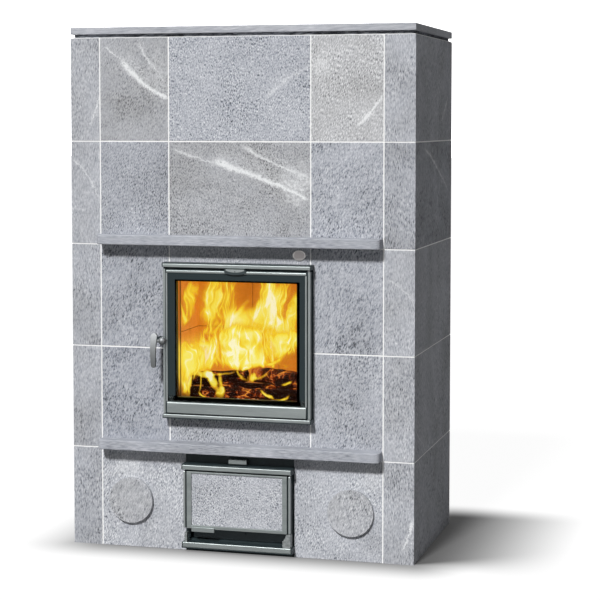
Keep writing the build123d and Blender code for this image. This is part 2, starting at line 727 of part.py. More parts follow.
def handle_lever():
    """The lever: a round hub on the spindle, a short arm and a tapered bowed blade."""
    hub = rod(HANDLE_X, HANDLE_Z, HUB_D, BOSS_OUT + RUN_GAP, BOSS_OUT + HUB_L)
    dome = Pos(HANDLE_X, FRONT - BOSS_OUT - HUB_L, HANDLE_Z) * Sphere(HUB_D / 2)
    hub += dome & block(
        HANDLE_X - HUB_D, HANDLE_X + HUB_D,
        FRONT - BOSS_OUT - HUB_L - HUB_D, FRONT - BOSS_OUT - HUB_L,
        HANDLE_Z - HUB_D, HANDLE_Z + HUB_D,
    )
    x = HANDLE_X - BLADE_X
    top = HANDLE_Z + BLADE_UP
    foot = top - BLADE_L
    top_r = BLADE_TOP_W / 2
    foot_r = BLADE_FOOT_W / 2
    taper = make_hull(
        (Pos(x, top - top_r) * Circle(top_r)).edges()
        + (Pos(x - top_r + foot_r, foot + foot_r) * Circle(foot_r)).edges()
    )
    front_shape = raised(taper, BLADE_OUT - BLADE_T - BLADE_BOW, BLADE_OUT + BLADE_BOW + BLADE_T)
    back, face = FRONT - BLADE_OUT + BLADE_T, FRONT - BLADE_OUT
    above, below = top + BLADE_TRIM, foot - BLADE_TRIM
    middle = (top + foot) / 2
    near = ThreePointArc((back, above), (back - BLADE_BOW, middle), (back, below))
    far = ThreePointArc((face, below), (face - BLADE_BOW, middle), (face, above))
    foot_end, top_end = Line((back, below), (face, below)), Line((face, above), (back, above))
    profile = make_face(near + foot_end + far + top_end)
    bow = extrude(Plane.YZ.offset(x) * profile, amount=BLADE_TOP_W, both=True)
    blade = front_shape & bow
    start = Vector(HANDLE_X, FRONT - BOSS_OUT - HUB_L, HANDLE_Z)
    end = Vector(x, FRONT - BLADE_OUT + BLADE_T / 2 - BLADE_BOW / 2, HANDLE_Z)
    reach = end - start
    arm = extrude(Plane(origin=start, z_dir=reach) * Circle(ARM_D / 2), amount=reach.length)
    socket_low = BOSS_OUT + RUN_GAP
    socket = rod(HANDLE_X, HANDLE_Z, SPINDLE_D, socket_low, socket_low + HUB_SOCKET_L)
    return hub + arm + blade - socket


def handle_spindle():
    """The spindle that joins the lever to the cam."""
    return rod(HANDLE_X, HANDLE_Z, SPINDLE_D, CAM_BACK, BOSS_OUT + RUN_GAP + HUB_SOCKET_L)


def latch_cam():
    """The latch cam behind the leaf, its arm pointing out under the keeper's lip."""
    arm = panel(HANDLE_X - CAM_ARM_L, HANDLE_X, HANDLE_Z - CAM_ARM_W / 2, HANDLE_Z + CAM_ARM_W / 2)
    cam = rod(HANDLE_X, HANDLE_Z, CAM_HUB_D, CAM_BACK, CAM_BACK + CAM_T)
    cam += raised(arm, CAM_BACK, CAM_BACK + CAM_T)
    return cam - rod(HANDLE_X, HANDLE_Z, SPINDLE_D, CAM_BACK, CAM_BACK + CAM_T)


def latch_keeper():
    """The keeper on the wall beside the casing: base, web and the lip before the cam."""
    low, high = HANDLE_Z - KEEPER_H / 2, HANDLE_Z + KEEPER_H / 2
    outer = HANDLE_X - KEEPER_REACH
    lip_out = CAM_BACK + CAM_T + KEEPER_GAP
    keeper = raised(panel(outer, -CASING_EDGE, low, high), 0, KEEPER_BASE_T)
    keeper += raised(panel(outer, outer + KEEPER_T, low, high), 0, lip_out + KEEPER_LIP_T)
    lip = panel(outer, outer + KEEPER_LIP_L, low, high)
    return keeper + raised(lip, lip_out, lip_out + KEEPER_LIP_T)


def ash_door_casing():
    """The black casing of the ash door, with the air duct over it and both plates."""
    shell = raised(panel(-ASH_EDGE, ASH_EDGE, 0, ASH_CASING_TOP), -ASH_IN, 0)
    edge = ASH_EDGE - ASH_WALL
    shell -= raised(panel(-edge, edge, ASH_FLOOR, ASH_OPEN_TOP), -ASH_IN, 0)
    shell -= raised(panel(-edge, edge, DUCT_LOW, DUCT_HIGH), -ASH_IN, -DUCT_WALL)
    slot = Pos(0, DAMPER_Z) * Rectangle(DAMPER_SLOT_W, DAMPER_SLOT_H)
    shell -= raised(slot, -DUCT_WALL, 0)
    for side in (-1, 1):
        shell -= damper_port(side * DAMPER_PORT_X, ASH_OPEN_TOP, DUCT_LOW)
    plate_out = HOOD_OUT - TRIM_T
    hood = raised(panel(-ASH_EDGE, ASH_EDGE, ASH_HOOD_LOW, ASH_HOOD_HIGH), 0, plate_out)
    sill = raised(panel(-ASH_EDGE, ASH_EDGE, ASH_SILL_LOW, ASH_SILL_HIGH), 0, plate_out)
    hood -= pin(ASH_HINGE_X, ASH_HINGE_Y, PIN_D, ASH_HOOD_LOW, ASH_HOOD_LOW + ASH_PIN_IN_HOOD)
    return shell + hood + sill


def damper_port(x, z_low, z_high):
    """An air port in the duct's floor or in the damper over it."""
    y = FRONT + DAMPER_IN + DAMPER_L / 2
    half_w, half_l = DAMPER_PORT_W / 2, DAMPER_PORT_L / 2
    return block(x - half_w, x + half_w, y - half_l, y + half_l, z_low, z_high)


def ash_hinge_pins():
    """The ash door's two hinge pins."""
    bracket_top = ASH_LEAF_LOW - BRACKET_GAP
    lower = (bracket_top - ASH_PIN_IN_BRACKET, ASH_LEAF_LOW + ASH_PIN_IN_LEAF)
    upper = (ASH_LEAF_HIGH - ASH_PIN_IN_LEAF, ASH_HOOD_LOW + ASH_PIN_IN_HOOD)
    return [pin(ASH_HINGE_X, ASH_HINGE_Y, PIN_D, *span) for span in (lower, upper)]


def ash_door_brackets():
    """The hinge bracket on the right of the sill and the stop post on its left."""
    top = ASH_LEAF_LOW - BRACKET_GAP
    right = ASH_LEAF_EDGE
    left = right - BRACKET_W
    knee = ASH_SILL_HIGH + BRACKET_LOW_H
    crown = (ASH_HINGE_X - PIN_D, top)
    walls = Polyline((left, knee), (left, ASH_SILL_HIGH), (right, ASH_SILL_HIGH), (right, top), crown)
    sag = ((left + crown[0]) / 2 + BRACKET_BEND, (knee + top) / 2 - BRACKET_BEND)
    bend = ThreePointArc(crown, sag, (left, knee))
    plate_out = HOOD_OUT - TRIM_T
    bracket = raised(make_face(walls + bend), BRACKET_BACK, plate_out)
    bracket -= pin(ASH_HINGE_X, ASH_HINGE_Y, PIN_D, top - ASH_PIN_IN_BRACKET, top)
    post_x = -ASH_EDGE + POST_INSET
    post = panel(post_x - POST_W / 2, post_x + POST_W / 2, ASH_SILL_HIGH, ASH_SILL_HIGH + POST_H)
    return [bracket, raised(post, plate_out - POST_T, plate_out)]


def ash_panel_lines():
    """Lower and upper edge of the stone panel in the ash door."""
    return ASH_LEAF_LOW + ASH_FRAME_FOOT + ASH_PANEL_GAP, ASH_LEAF_HIGH - ASH_FRAME_TOP - ASH_PANEL_GAP


def ash_door_leaf():
    """The ash door's black pan, which holds the stone panel."""
    low, high = ash_panel_lines()
    leaf = raised(
        panel(-ASH_LEAF_EDGE, ASH_LEAF_EDGE, ASH_LEAF_LOW, ASH_LEAF_HIGH),
        ASH_LEAF_BACK, ASH_LEAF_FRONT,
    )
    edge = ASH_POCKET_EDGE
    pocket = panel(-edge, edge, low - ASH_PANEL_GAP, high + ASH_PANEL_GAP)
    leaf -= raised(pocket, ASH_LEAF_BACK + ASH_PAN_T, ASH_LEAF_FRONT)
    bore_d = PIN_D + 2 * PIN_CLEARANCE
    depth = ASH_PIN_IN_LEAF + PIN_COLLAR_GAP
    leaf -= pin(ASH_HINGE_X, ASH_HINGE_Y, bore_d, ASH_LEAF_LOW, ASH_LEAF_LOW + depth)
    return leaf - pin(ASH_HINGE_X, ASH_HINGE_Y, bore_d, ASH_LEAF_HIGH - depth, ASH_LEAF_HIGH)


def ash_stone_panel():
    """The stone panel of the ash door."""
    low, high = ash_panel_lines()
    back = ASH_LEAF_BACK + ASH_PAN_T
    edge = ASH_POCKET_EDGE - ASH_PANEL_GAP
    return raised(panel(-edge, edge, low, high), back, back + ASH_PANEL_T)


def ash_panel_frame():
    """The bright flat frame round the stone panel."""
    low, high = ash_panel_lines()
    edge = ASH_POCKET_EDGE
    outline = panel(-ASH_FRAME_EDGE, ASH_FRAME_EDGE, ASH_LEAF_LOW, ASH_LEAF_HIGH)
    outline -= panel(-edge, edge, low - ASH_PANEL_GAP, high + ASH_PANEL_GAP)
    return raised(outline, ASH_LEAF_FRONT, ASH_FRAME_OUT)


def ash_door_edge_bars():
    """The bright upright bars along both edges of the ash door."""
    bars = []
    for side in (-1, 1):
        edges = sorted((side * ASH_LEAF_EDGE, side * (ASH_LEAF_EDGE - ASH_EDGE_BAR_W)))
        bars.append(raised(panel(*edges, ASH_LEAF_LOW, ASH_LEAF_HIGH), ASH_LEAF_FRONT, ASH_FRAME_OUT))
    return bars


def ash_finger_pull():
    """The plate at the foot of the ash door that a finger pulls."""
    low = ASH_LEAF_LOW - ASH_PULL_DROP
    left = -ASH_FRAME_EDGE + ASH_PULL_INSET
    edges = (left, left + ASH_PULL_W)
    plate = raised(panel(*edges, low, low + ASH_PULL_H), ASH_FRAME_OUT, ASH_FRAME_OUT + ASH_PULL_T)
    return fillet(plate.faces().sort_by(Axis.Y)[0].edges(), ASH_PULL_T / 4)


def primary_air_slide():
    """The primary air slide: finger tab, neck through the slot and damper on the duct's floor."""
    half_w = DAMPER_TAB_W / 2
    half_h = DAMPER_TAB_H / 2
    tab_end = DAMPER_TAB_OUT + DAMPER_TAB_T
    tab = raised(panel(-half_w, half_w, DAMPER_Z - half_h, DAMPER_Z + half_h), DAMPER_TAB_OUT, tab_end)
    tab = fillet(tab.edges().filter_by(Axis.X).sort_by(Axis.Y)[:2], DAMPER_TAB_T / 4)
    low = DUCT_LOW + DAMPER_GAP
    high = low + DAMPER_T
    y_low = FRONT + DAMPER_IN
    edge = ASH_EDGE - ASH_WALL - DAMPER_TRAVEL - DAMPER_END_GAP
    plate = block(-edge, edge, y_low, y_low + DAMPER_L, low, high)
    for side in (-1, 1):
        plate -= damper_port(side * DAMPER_PORT_X + DAMPER_TRAVEL, low, high)
    neck_edge = DAMPER_NECK_W / 2
    neck_top = DAMPER_Z + DAMPER_NECK_H / 2
    stem_in = -DAMPER_IN - DAMPER_T
    neck = panel(-neck_edge, neck_edge, DAMPER_Z - DAMPER_NECK_H / 2, neck_top)
    stem = panel(-neck_edge, neck_edge, high, neck_top)
    return tab + raised(neck, stem_in, DAMPER_TAB_OUT) + raised(stem, stem_in, -DAMPER_IN) + plate


def ash_box():
    """The open sheet-metal ash box with its small pull knob."""
    half_w = ASH_BOX_W / 2
    front = FRONT + ASH_BOX_SET_BACK
    rear = LINING_BACK_Y - ASH_BOX_END_GAP
    low = ASH_FLOOR + ASH_BOX_GAP
    box = block(-half_w, half_w, front, rear, low, low + ASH_BOX_H)
    sheet = ASH_BOX_SHEET
    box -= block(
        -half_w + sheet, half_w - sheet, front + sheet, rear - sheet,
        low + sheet, low + ASH_BOX_H,
    )
    knob_z = ASH_FLOOR + ASH_KNOB_RISE
    knob_in = -ASH_BOX_SET_BACK
    return box + rod(ASH_KNOB_X, knob_z, ASH_KNOB_D, knob_in, knob_in + ASH_KNOB_L)


def firebox_floor():
    """The hearth slab with its rebated grate opening."""
    slab = block(-LINING_EDGE, LINING_EDGE, CORE_FRONT, LINING_BACK, PLINTH_TOP, FLOOR_TOP)
    half_w, half_l = GRATE_W / 2 + GRATE_GAP, GRATE_L / 2 + GRATE_GAP
    slab -= block(
        -half_w, half_w, GRATE_Y - half_l, GRATE_Y + half_l, FLOOR_TOP - GRATE_T, FLOOR_TOP
    )
    half_w, half_l = half_w - GRATE_LEDGE, half_l - GRATE_LEDGE
    return slab - block(
        -half_w, half_w, GRATE_Y - half_l, GRATE_Y + half_l, PLINTH_TOP, FLOOR_TOP
    )


def grate():
    """The cast grate, barred front to back."""
    half_w, half_l = GRATE_W / 2, GRATE_L / 2
    plate = block(-half_w, half_w, GRATE_Y - half_l, GRATE_Y + half_l, FLOOR_TOP - GRATE_T, FLOOR_TOP)
    inner_w = GRATE_W - 2 * GRATE_RIM
    pitch = (inner_w + GRATE_BAR_W) / (GRATE_BARS + 1)
    reach = half_l - GRATE_RIM
    for index in range(GRATE_BARS + 1):
        x = -inner_w / 2 + index * pitch
        slot = (x, x + pitch - GRATE_BAR_W)
        plate -= block(*slot, GRATE_Y - reach, GRATE_Y + reach, FLOOR_TOP - GRATE_T, FLOOR_TOP)
    return plate


def firebox_lining():
    """Loose lining bricks: two courses on each side and two split courses behind."""
    seam = FLOOR_TOP + LINING_COURSE_H
    courses = (
        (FLOOR_TOP, seam, LOWER_BRICK_SPLIT_X),
        (seam + LINING_SEAM, LINING_TOP, UPPER_BRICK_SPLIT_X),
    )
    bricks = []
    for z_low, z_high, split in courses:
        for side in (-1, 1):
            edges = sorted((side * FIREBOX_EDGE, side * LINING_EDGE))
            bricks.append(block(*edges, CORE_FRONT, LINING_BACK_Y, z_low, z_high))
        left, right = split - LINING_SEAM / 2, split + LINING_SEAM / 2
        bricks.append(block(-LINING_EDGE, left, LINING_BACK_Y, LINING_BACK, z_low, z_high))
        bricks.append(block(right, LINING_EDGE, LINING_BACK_Y, LINING_BACK, z_low, z_high))
    return bricks


def core_masonry():
    """The base slab, the plinth that carries the hearth and the walls round fire and channels."""
    walls = [block(-OUTER_OUT, OUTER_OUT, CORE_FRONT, BACK - BACK_SLAB_T, 0, ASH_FLOOR)]
    tile_back = FRONT + FRONT_TILE_T
    throat_top = LINING_TOP + THROAT_T
    for side in (-1, 1):
        plinth = sorted((side * LINING_EDGE, side * PLINTH_EDGE))
        walls.append(block(*plinth, CORE_FRONT, LINING_BACK, ASH_FLOOR, PLINTH_TOP))
        wall = sorted((side * CORE_EDGE, side * (CORE_EDGE + CORE_WALL_T)))
        walls.append(block(*wall, tile_back, CORE_BACK, ASH_FLOOR, CORE_WALL_TOP))
    edge = PLINTH_EDGE
    walls.append(block(-edge, edge, LINING_BACK_Y, LINING_BACK, ASH_FLOOR, PLINTH_TOP))
    walls.append(
        block(-LINING_EDGE, LINING_EDGE, tile_back, tile_back + CORE_WALL_T, throat_top, CEILING_Z)
    )
    edge = CORE_EDGE + CORE_WALL_T
    walls.append(block(-edge, edge, CORE_BACK, CORE_REAR, ASH_FLOOR, CEILING_Z))
    return walls


def core_slabs():
    """The throat slab over the fire and the two ceiling slabs under the insulation."""
    front = FRONT + FRONT_TILE_T
    throat = block(
        -LINING_EDGE, LINING_EDGE, front, LINING_BACK, LINING_TOP, LINING_TOP + THROAT_T
    )
    throat -= block(
        -THROAT_W / 2, THROAT_W / 2, LINING_BACK_Y - THROAT_L, LINING_BACK_Y,
        LINING_TOP, LINING_TOP + THROAT_T,
    )
    slabs = [throat]
    rear = BACK - BACK_SLAB_T
    for side in (-1, 1):
        edges = sorted((side * LINING_SEAM / 2, side * OUTER_OUT))
        slabs.append(block(*edges, front, rear, CEILING_Z, CEILING_Z + CEILING_T))
    return slabs


def lying_log(x, y, z, diameter, across, depth):
    """A log that lies level, as far across and as far front to back as given."""
    turn = math.degrees(math.atan2(depth, across))
    length = math.hypot(across, depth)
    return Pos(x, y, z) * Rot(0, 0, turn) * Rot(0, 90, 0) * Cylinder(diameter / 2, length)


def logs_and_embers():
    """The ember bed on hearth and grate, two logs across it and two logs over those."""
    edge = FIREBOX_EDGE - EMBERS_MARGIN
    front, rear = CORE_FRONT + EMBERS_MARGIN / 2, LINING_BACK_Y - EMBERS_MARGIN
    top = FLOOR_TOP + EMBERS_T
    bed = block(-edge, edge, front, rear, FLOOR_TOP, top)
    bed = chamfer(bed.faces().sort_by(Axis.Z)[-1].edges(), EMBERS_CHAMFER)
    low_z = top + LOW_LOG_D / 2
    front_y, back_y = front + LOW_LOG_IN, rear - LOW_LOG_IN
    crown = top + LOW_LOG_D
    middle = (front_y + back_y) / 2
    reach = back_y - front_y + 2 * LOG_OVERHANG
    big_z, slim_z = crown + BIG_LOG_D / 2, crown + SLIM_LOG_D / 2
    return [
        bed,
        lying_log(-LOG_SHIFT, front_y, low_z, LOW_LOG_D, LOW_LOG_L, 0),
        lying_log(LOG_SHIFT, back_y, low_z, LOW_LOG_D, LOW_LOG_L, 0),
        lying_log(BIG_LOG_X, middle, big_z, BIG_LOG_D, BIG_LOG_SPAN, -reach),
        lying_log(SLIM_LOG_X, middle, slim_z, SLIM_LOG_D, SLIM_LOG_SPAN, reach),
    ]


def insulation():
    """The mineral board between the ceiling and the neck."""
    rear = BACK - BACK_SLAB_T
    low = CEILING_Z + CEILING_T
    return block(-OUTER_OUT, OUTER_OUT, FRONT + FRONT_TILE_T, rear, low, BODY_TOP)


nodes = {
    "side_slabs": side_slabs(),
    "back_slabs": back_slabs(),
    **front_tiles(),
    "joint_mortar": joint_mortar(),
    "neck_course": neck_course(),
    "top_slab": top_slab(),
    "medallion": medallion(),
    "shelf_dowels": shelf_dowels(),
    "left_soot_cover": soot_cover(-1),
    "right_soot_cover": soot_cover(1),
    "left_soot_plug": soot_plug(-1),
    "right_soot_plug": soot_plug(1),
    "flue_collar": flue_collar(),
    "fire_door_casing": fire_door_casing(),
    "casing_trim_bars": casing_trim_bars(),
    "fire_door_hinge_pins": fire_door_hinge_pins(),
    "fire_door_leaf": fire_door_leaf(),
    "fire_door_edge_bars": fire_door_edge_bars(),
    "fire_door_seals": [door_rope(), glass_tape()],
    "fire_door_glass": fire_door_glass(),
    "glass_beads": glass_beads(),
    "fire_door_band": fire_door_band(),
    "fire_door_top_rails": fire_door_top_rails(),
    "air_wash_slide": air_wash_slide(),
    "handle_lever": handle_lever(),
    "handle_spindle": handle_spindle(),
    "latch_cam": latch_cam(),
    "latch_keeper": latch_keeper(),
    "ash_door_casing": ash_door_casing(),
    "ash_hinge_pins": ash_hinge_pins(),
    "ash_door_brackets": ash_door_brackets(),
    "ash_door_leaf": ash_door_leaf(),
    "ash_stone_panel": ash_stone_panel(),
    "ash_panel_frame": ash_panel_frame(),
    "ash_door_edge_bars": ash_door_edge_bars(),
    "ash_finger_pull": ash_finger_pull(),
    "primary_air_slide": primary_air_slide(),
    "ash_box": ash_box(),
    "firebox_floor": firebox_floor(),
    "grate": grate(),
    "firebox_lining": firebox_lining(),
    "core_masonry": core_masonry(),
    "core_slabs": core_slabs(),
    "logs_and_embers": logs_and_embers(),
    "insulation": insulation(),
}
for name, course in SHELF_COURSES.items():
    nodes[name] = shelf(COURSES[course][0])

os.makedirs("parts", exist_ok=True)
for name, shape in nodes.items():
    whole = Compound(children=shape) if isinstance(shape, list) else shape
    export_step(whole, f"parts/{name}.step")
    print(name)
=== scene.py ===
import math
import random

import bmesh
import bpy
from mathutils import Matrix, Vector, noise


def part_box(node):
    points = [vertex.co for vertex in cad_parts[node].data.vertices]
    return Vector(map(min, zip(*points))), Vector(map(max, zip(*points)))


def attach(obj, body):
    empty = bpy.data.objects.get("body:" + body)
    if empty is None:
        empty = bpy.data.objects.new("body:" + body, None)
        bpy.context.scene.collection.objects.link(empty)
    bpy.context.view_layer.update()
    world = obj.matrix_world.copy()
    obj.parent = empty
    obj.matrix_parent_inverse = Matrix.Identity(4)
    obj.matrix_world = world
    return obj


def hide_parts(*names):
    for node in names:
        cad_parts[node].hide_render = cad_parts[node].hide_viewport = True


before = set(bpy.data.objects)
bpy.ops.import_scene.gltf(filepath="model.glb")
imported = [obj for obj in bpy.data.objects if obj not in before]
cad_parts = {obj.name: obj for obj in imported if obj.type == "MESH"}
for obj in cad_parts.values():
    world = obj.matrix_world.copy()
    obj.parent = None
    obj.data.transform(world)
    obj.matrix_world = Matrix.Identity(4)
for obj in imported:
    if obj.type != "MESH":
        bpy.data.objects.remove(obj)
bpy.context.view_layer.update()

# The studio: a pale floor with a painted shadow round the stove's foot, a white surround, one soft
# lamp high on the left and a weak even light, and the camera where the photographer stood, a little
# right of the stove at eye height.


class Wire:
    """A socket in a material, so that the material's maths can be written as sums."""

    def __init__(self, tree, socket=None):
        self.tree, self.socket = tree, socket

    def node(self, kind, values=(), out=0, stops=None, **settings):
        """A new node with its settings, its ramp's stops and its sockets' values or links."""
        made = self.tree.nodes.new(kind)
        for name, setting in settings.items():
            setattr(made, name, setting)
        if stops:
            marks = made.color_ramp.elements
            marks[0].position, marks[0].color = stops[0]
            marks[1].position, marks[1].color = stops[-1]
            for place, colour in stops[1:-1]:
                marks.new(place).color = colour
        for name, value in dict(values).items():
            if isinstance(value, Wire):
                self.tree.links.new(value.socket, made.inputs[name])
            else:
                made.inputs[name].default_value = value
        return Wire(self.tree, made.outputs[out] if made.outputs else None)

    def maths(self, operation, *values):
        return self.node("ShaderNodeMath", enumerate(values), operation=operation)

    def __add__(self, other):
        return self.maths("ADD", self, other)

    def __radd__(self, other):
        return self.maths("ADD", other, self)

    def __sub__(self, other):
        return self.maths("SUBTRACT", self, other)

    def __rsub__(self, other):
        return self.maths("SUBTRACT", other, self)

    def __mul__(self, other):
        return self.maths("MULTIPLY", self, other)

    def __rmul__(self, other):
        return self.maths("MULTIPLY", other, self)

    def __truediv__(self, other):
        return self.maths("DIVIDE", self, other)

    def __abs__(self):
        return self.maths("ABSOLUTE", self)

    def ease(self, low, high):
        """0 below the first value, 1 above the second, smooth between."""
        values = {"Value": self, "From Min": low, "From Max": high}
        return self.node("ShaderNodeMapRange", values, interpolation_type="SMOOTHSTEP")

    def mix(self, first, second):
        """The two colours, mixed by this share of the second."""
        return self.node("ShaderNodeMix", {0: self, 6: first, 7: second}, out=2, data_type="RGBA")

    def ramp(self, *stops):
        """The colour for this value, between stops of a value and a colour."""
        return self.node("ShaderNodeValToRGB", {0: self}, stops=stops)

    def reach(self, other):
        """The length of the line that goes this far one way and the other value across."""
        return self.maths("SQRT", self * self + other * other)

    def noise(self, scale, detail, roughness, distortion=0.0):
        values = {"Vector": self, "Scale": scale, "Detail": detail, "Roughness": roughness}
        return self.node("ShaderNodeTexNoise", {**values, "Distortion": distortion})

    def cells(self, scale, **settings):
        return self.node("ShaderNodeTexVoronoi", {"Vector": self, "Scale": scale}, **settings)

    def place(self, moved=(0, 0, 0), turned=(0, 0, 0), stretched=(1, 1, 1)):
        """This place, read on a pattern that is moved, turned and stretched."""
        values = {"Vector": self, "Location": moved, "Rotation": turned, "Scale": stretched}
        return self.node("ShaderNodeMapping", values, vector_type="TEXTURE")

    def axis(self, number):
        return self.node("ShaderNodeSeparateXYZ", {0: self}, out=number)

    def bump(self, depth):
        """The normal of a surface with this height, in metres at full height."""
        return self.node("ShaderNodeBump", {"Height": self, "Strength": 1.0, "Distance": depth})


def new_material(name):
    """An empty material, and its object coordinates."""
    made = bpy.data.materials.new(name)
    made.use_nodes = True
    made.node_tree.nodes.clear()
    return made, Wire(made.node_tree).node("ShaderNodeTexCoord", out=3)


def surface(spot, **sockets):
    """Closes a material with a Principled surface."""
    values = {name.replace("_", " ").title(): value for name, value in sockets.items()}
    values = {name.replace("Ior", "IOR"): value for name, value in values.items()}
    spot.node("ShaderNodeOutputMaterial", {0: spot.node("ShaderNodeBsdfPrincipled", values)})


def seen_directly(spot, mirrored=1.0):
    """1 for what the camera sees, also through glass, the given share for what metal mirrors, and
    0 for what lights things."""
    rays = [
        spot.node("ShaderNodeLightPath", out=name)
        for name in ("Is Camera Ray", "Is Glossy Ray", "Is Transmission Ray")
    ]
    bounced = spot.node("ShaderNodeLightPath", out="Diffuse Depth").ease(0, 1)
    return (rays[0] + rays[1] * mirrored + rays[2]) * (1 - bounced)


scene = bpy.context.scene
scene.view_settings.view_transform = "Standard"
right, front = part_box("side_slabs")[1].x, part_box("side_slabs")[0].y

floor_mesh = bmesh.new()
bmesh.ops.create_grid(floor_mesh, x_segments=1, y_segments=1, size=60)
floor = bpy.data.objects.new("floor", bpy.data.meshes.new("floor"))
floor_mesh.to_mesh(floor.data)
floor_mesh.free()
scene.collection.objects.link(floor)

# The floor is painted with shadow: a light painted shade close before the stove, and a darker
# painted shadow in a fan on its right.
floor_painted_shadow, spot = new_material("pale_floor_painted_shadow")
seen = seen_directly(spot, 0.35)
x, y = spot.axis(0), spot.axis(1)
far_out = spot.maths("MAXIMUM", abs(x) - right, 0)
out_front = spot.maths("MAXIMUM", front - y, 0)
before = (1 - far_out.reach(out_front).ease(-0.05, 0.21)) * (0.85 - (0 - x).ease(0.45, 0.65) * 0.38)
before = before * (1 - x.ease(0.5, 0.6) * y.ease(-0.33, -0.23)) * (1 - y.ease(0.1, 0.5))
darkest, softness = 0.95, 0.03
fan = (y - front) / spot.maths("MAXIMUM", x - (right - softness), softness)
painted_shadow_right = spot.maths("MINIMUM", darkest - x.ease(0.58, 1.16) * 1.05, darkest)
painted_shadow_right = spot.maths("MAXIMUM", painted_shadow_right, 0) * fan.ease(-0.35, 0.75) * (1 - y.ease(0.38, 0.6))
painted_shadow_right = painted_shadow_right * x.ease(0.4, right)
lit = (1 - painted_shadow_right) * (1 - before)
surface(
    spot,
    base_color=seen.mix((0.3, 0.3, 0.3, 1), (0.1, 0.1, 0.1, 1)),
    roughness=0.9,
    specular_ior_level=0.0,
    emission_color=(seen * lit * 0.95).mix((0, 0, 0, 1), (1, 1, 1, 1)),
    emission_strength=1.0,
)
floor.data.materials.append(floor_painted_shadow)

world = bpy.data.worlds.new("studio")
scene.world = world
world.use_nodes = True
world.node_tree.nodes.clear()
air = Wire(world.node_tree)
way = air.node("ShaderNodeTexCoord", out=0)
mirrored = 0.45 + way.axis(2).ease(-0.1, 0.75) * 1.8 + (0 - way.axis(0)).ease(0.4, 0.95) * 2.0
weak = way.axis(1).ease(0.1, 0.9) * (1 - way.axis(0).ease(-0.4, 0.3)) * 0.9
weak = weak + way.axis(0).ease(0, 1) * 0.085 + 0.105
strength = seen_directly(air, mirrored - weak) + weak
glow = air.node("ShaderNodeBackground", {"Color": (1, 1, 1, 1), "Strength": strength})
air.node("ShaderNodeOutputWorld", {0: glow})

lamp_data = bpy.data.lights.new("soft_lamp", "SUN")
lamp_data.energy = 3.4
lamp_data.angle = math.radians(8)
lamp_height = 41.5
lamp = bpy.data.objects.new("soft_lamp", lamp_data)
lamp.rotation_euler = (math.radians(90 - lamp_height), 0, math.radians(-8))
scene.collection.objects.link(lamp)

camera_data = bpy.data.cameras.new("camera")
camera_data.lens = 104.163
camera_data.sensor_width = 36
camera_data.shift_y = -0.11
camera = bpy.data.objects.new("camera", camera_data)
camera.location = (1.6578, -5.5941, 1.3955)
camera.rotation_euler = (math.radians(86.2867), 0, math.radians(15.388))
scene.collection.objects.link(camera)
scene.camera = camera

# Base slab, inner walls and throat slabs: cast concrete, bedded on each other in clay. They carry
# the hearth and part the fire from the smoke channels behind the stone shell.


def finish_nodes(material, *names):
    """Gives solids of the frame their finish."""
    for name in names:
        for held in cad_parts[name].material_slots:
            held.material = material


concrete, spot = new_material("cast_concrete")
grit = spot.noise(220, 4, 0.7)
patches = spot.noise(9, 4, 0.6)
holes = spot.cells(70).ease(0.05, 0.16)
surface(
    spot,
    base_color=(patches * 0.6 + grit * 0.4).ease(0.3, 0.7).mix(
        (0.36, 0.35, 0.33, 1), (0.56, 0.54, 0.5, 1)
    ),
    roughness=grit * 0.2 + 0.75,
    normal=(grit * 0.5 + holes).bump(0.0008),
)
finish_nodes(concrete, "core_masonry", "core_slabs")

# Insulation: a pressed mineral board, cut to the inside of the shell and laid loose on the ceiling
# slabs, under the neck course.
board, spot = new_material("mineral_board")
fibres = spot.place(stretched=(6, 1, 1)).noise(500, 3, 0.7)
surface(
    spot,
    base_color=fibres.mix((0.62, 0.59, 0.52, 1), (0.82, 0.8, 0.74, 1)),
    roughness=0.95,
    normal=fibres.bump(0.0006),
)
finish_nodes(board, "insulation")

# Hearth and lining: loose pale firebricks that stand on the hearth slab round the fire. Their
# faces are stained by smoke, and the flames' orange light on them is painted in as a glow.


def firelight(spot, low, high, side, flicker, dim):
    """Painted firelight, a glow that stands for the flames' light on what stands round them: dim,
    with a yellow band that begins and ends between the two heights of low and of high, and fades
    out between the two places of side."""
    height = spot.axis(2)
    licked = height.ease(*low) * (1 - height.ease(*high)) * (1 - spot.axis(0).ease(*side))
    licked = licked * spot.place(stretched=(1, 1, 3)).noise(flicker, 3, 0.6).ease(0.2, 0.55)
    return licked.mix(dim, (0.9, 0.62, 0.05, 1))


firebrick, spot = new_material("firebrick")
grain = spot.noise(260, 4, 0.7)
stain = spot.noise(11, 5, 0.6)
lining_low, lining_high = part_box("firebox_lining")
brick = 0.04
inner_side, inner_back = lining_high.x - brick, lining_high.y - brick
depth = spot.axis(1)
inside = 1 - depth.ease(inner_back - 0.001, inner_back + 0.005)
inside = inside * depth.ease(lining_low.y - 0.0015, lining_low.y + 0.0025)
inside = inside * (1 - abs(spot.axis(0)).ease(inner_side + 0.0005, inner_side + 0.002))
# The inner faces get painted firelight: an orange glow in their emission that stands for the
# flames' light.
painted_firelight_mask = spot.axis(2).ease(0.47, 0.56) * (stain * 0.5 + 0.75) * inside
painted_firelight_colour = firelight(spot, (0.5, 0.58), (0.62, 0.7), (-0.21, -0.19), 30, (0.52, 0.135, 0.008, 1))
surface(
    spot,
    base_color=(stain * 0.7 + grain * 0.3).ease(0.3, 0.7).mix(
        (0.2, 0.13, 0.08, 1), (0.42, 0.31, 0.21, 1)
    ),
    roughness=grain * 0.15 + 0.8,
    emission_color=painted_firelight_mask.mix((0, 0, 0, 1), painted_firelight_colour),
    emission_strength=1.0,
    normal=(grain + stain).bump(0.0008),
)
finish_nodes(firebrick, "firebox_floor", "firebox_lining")

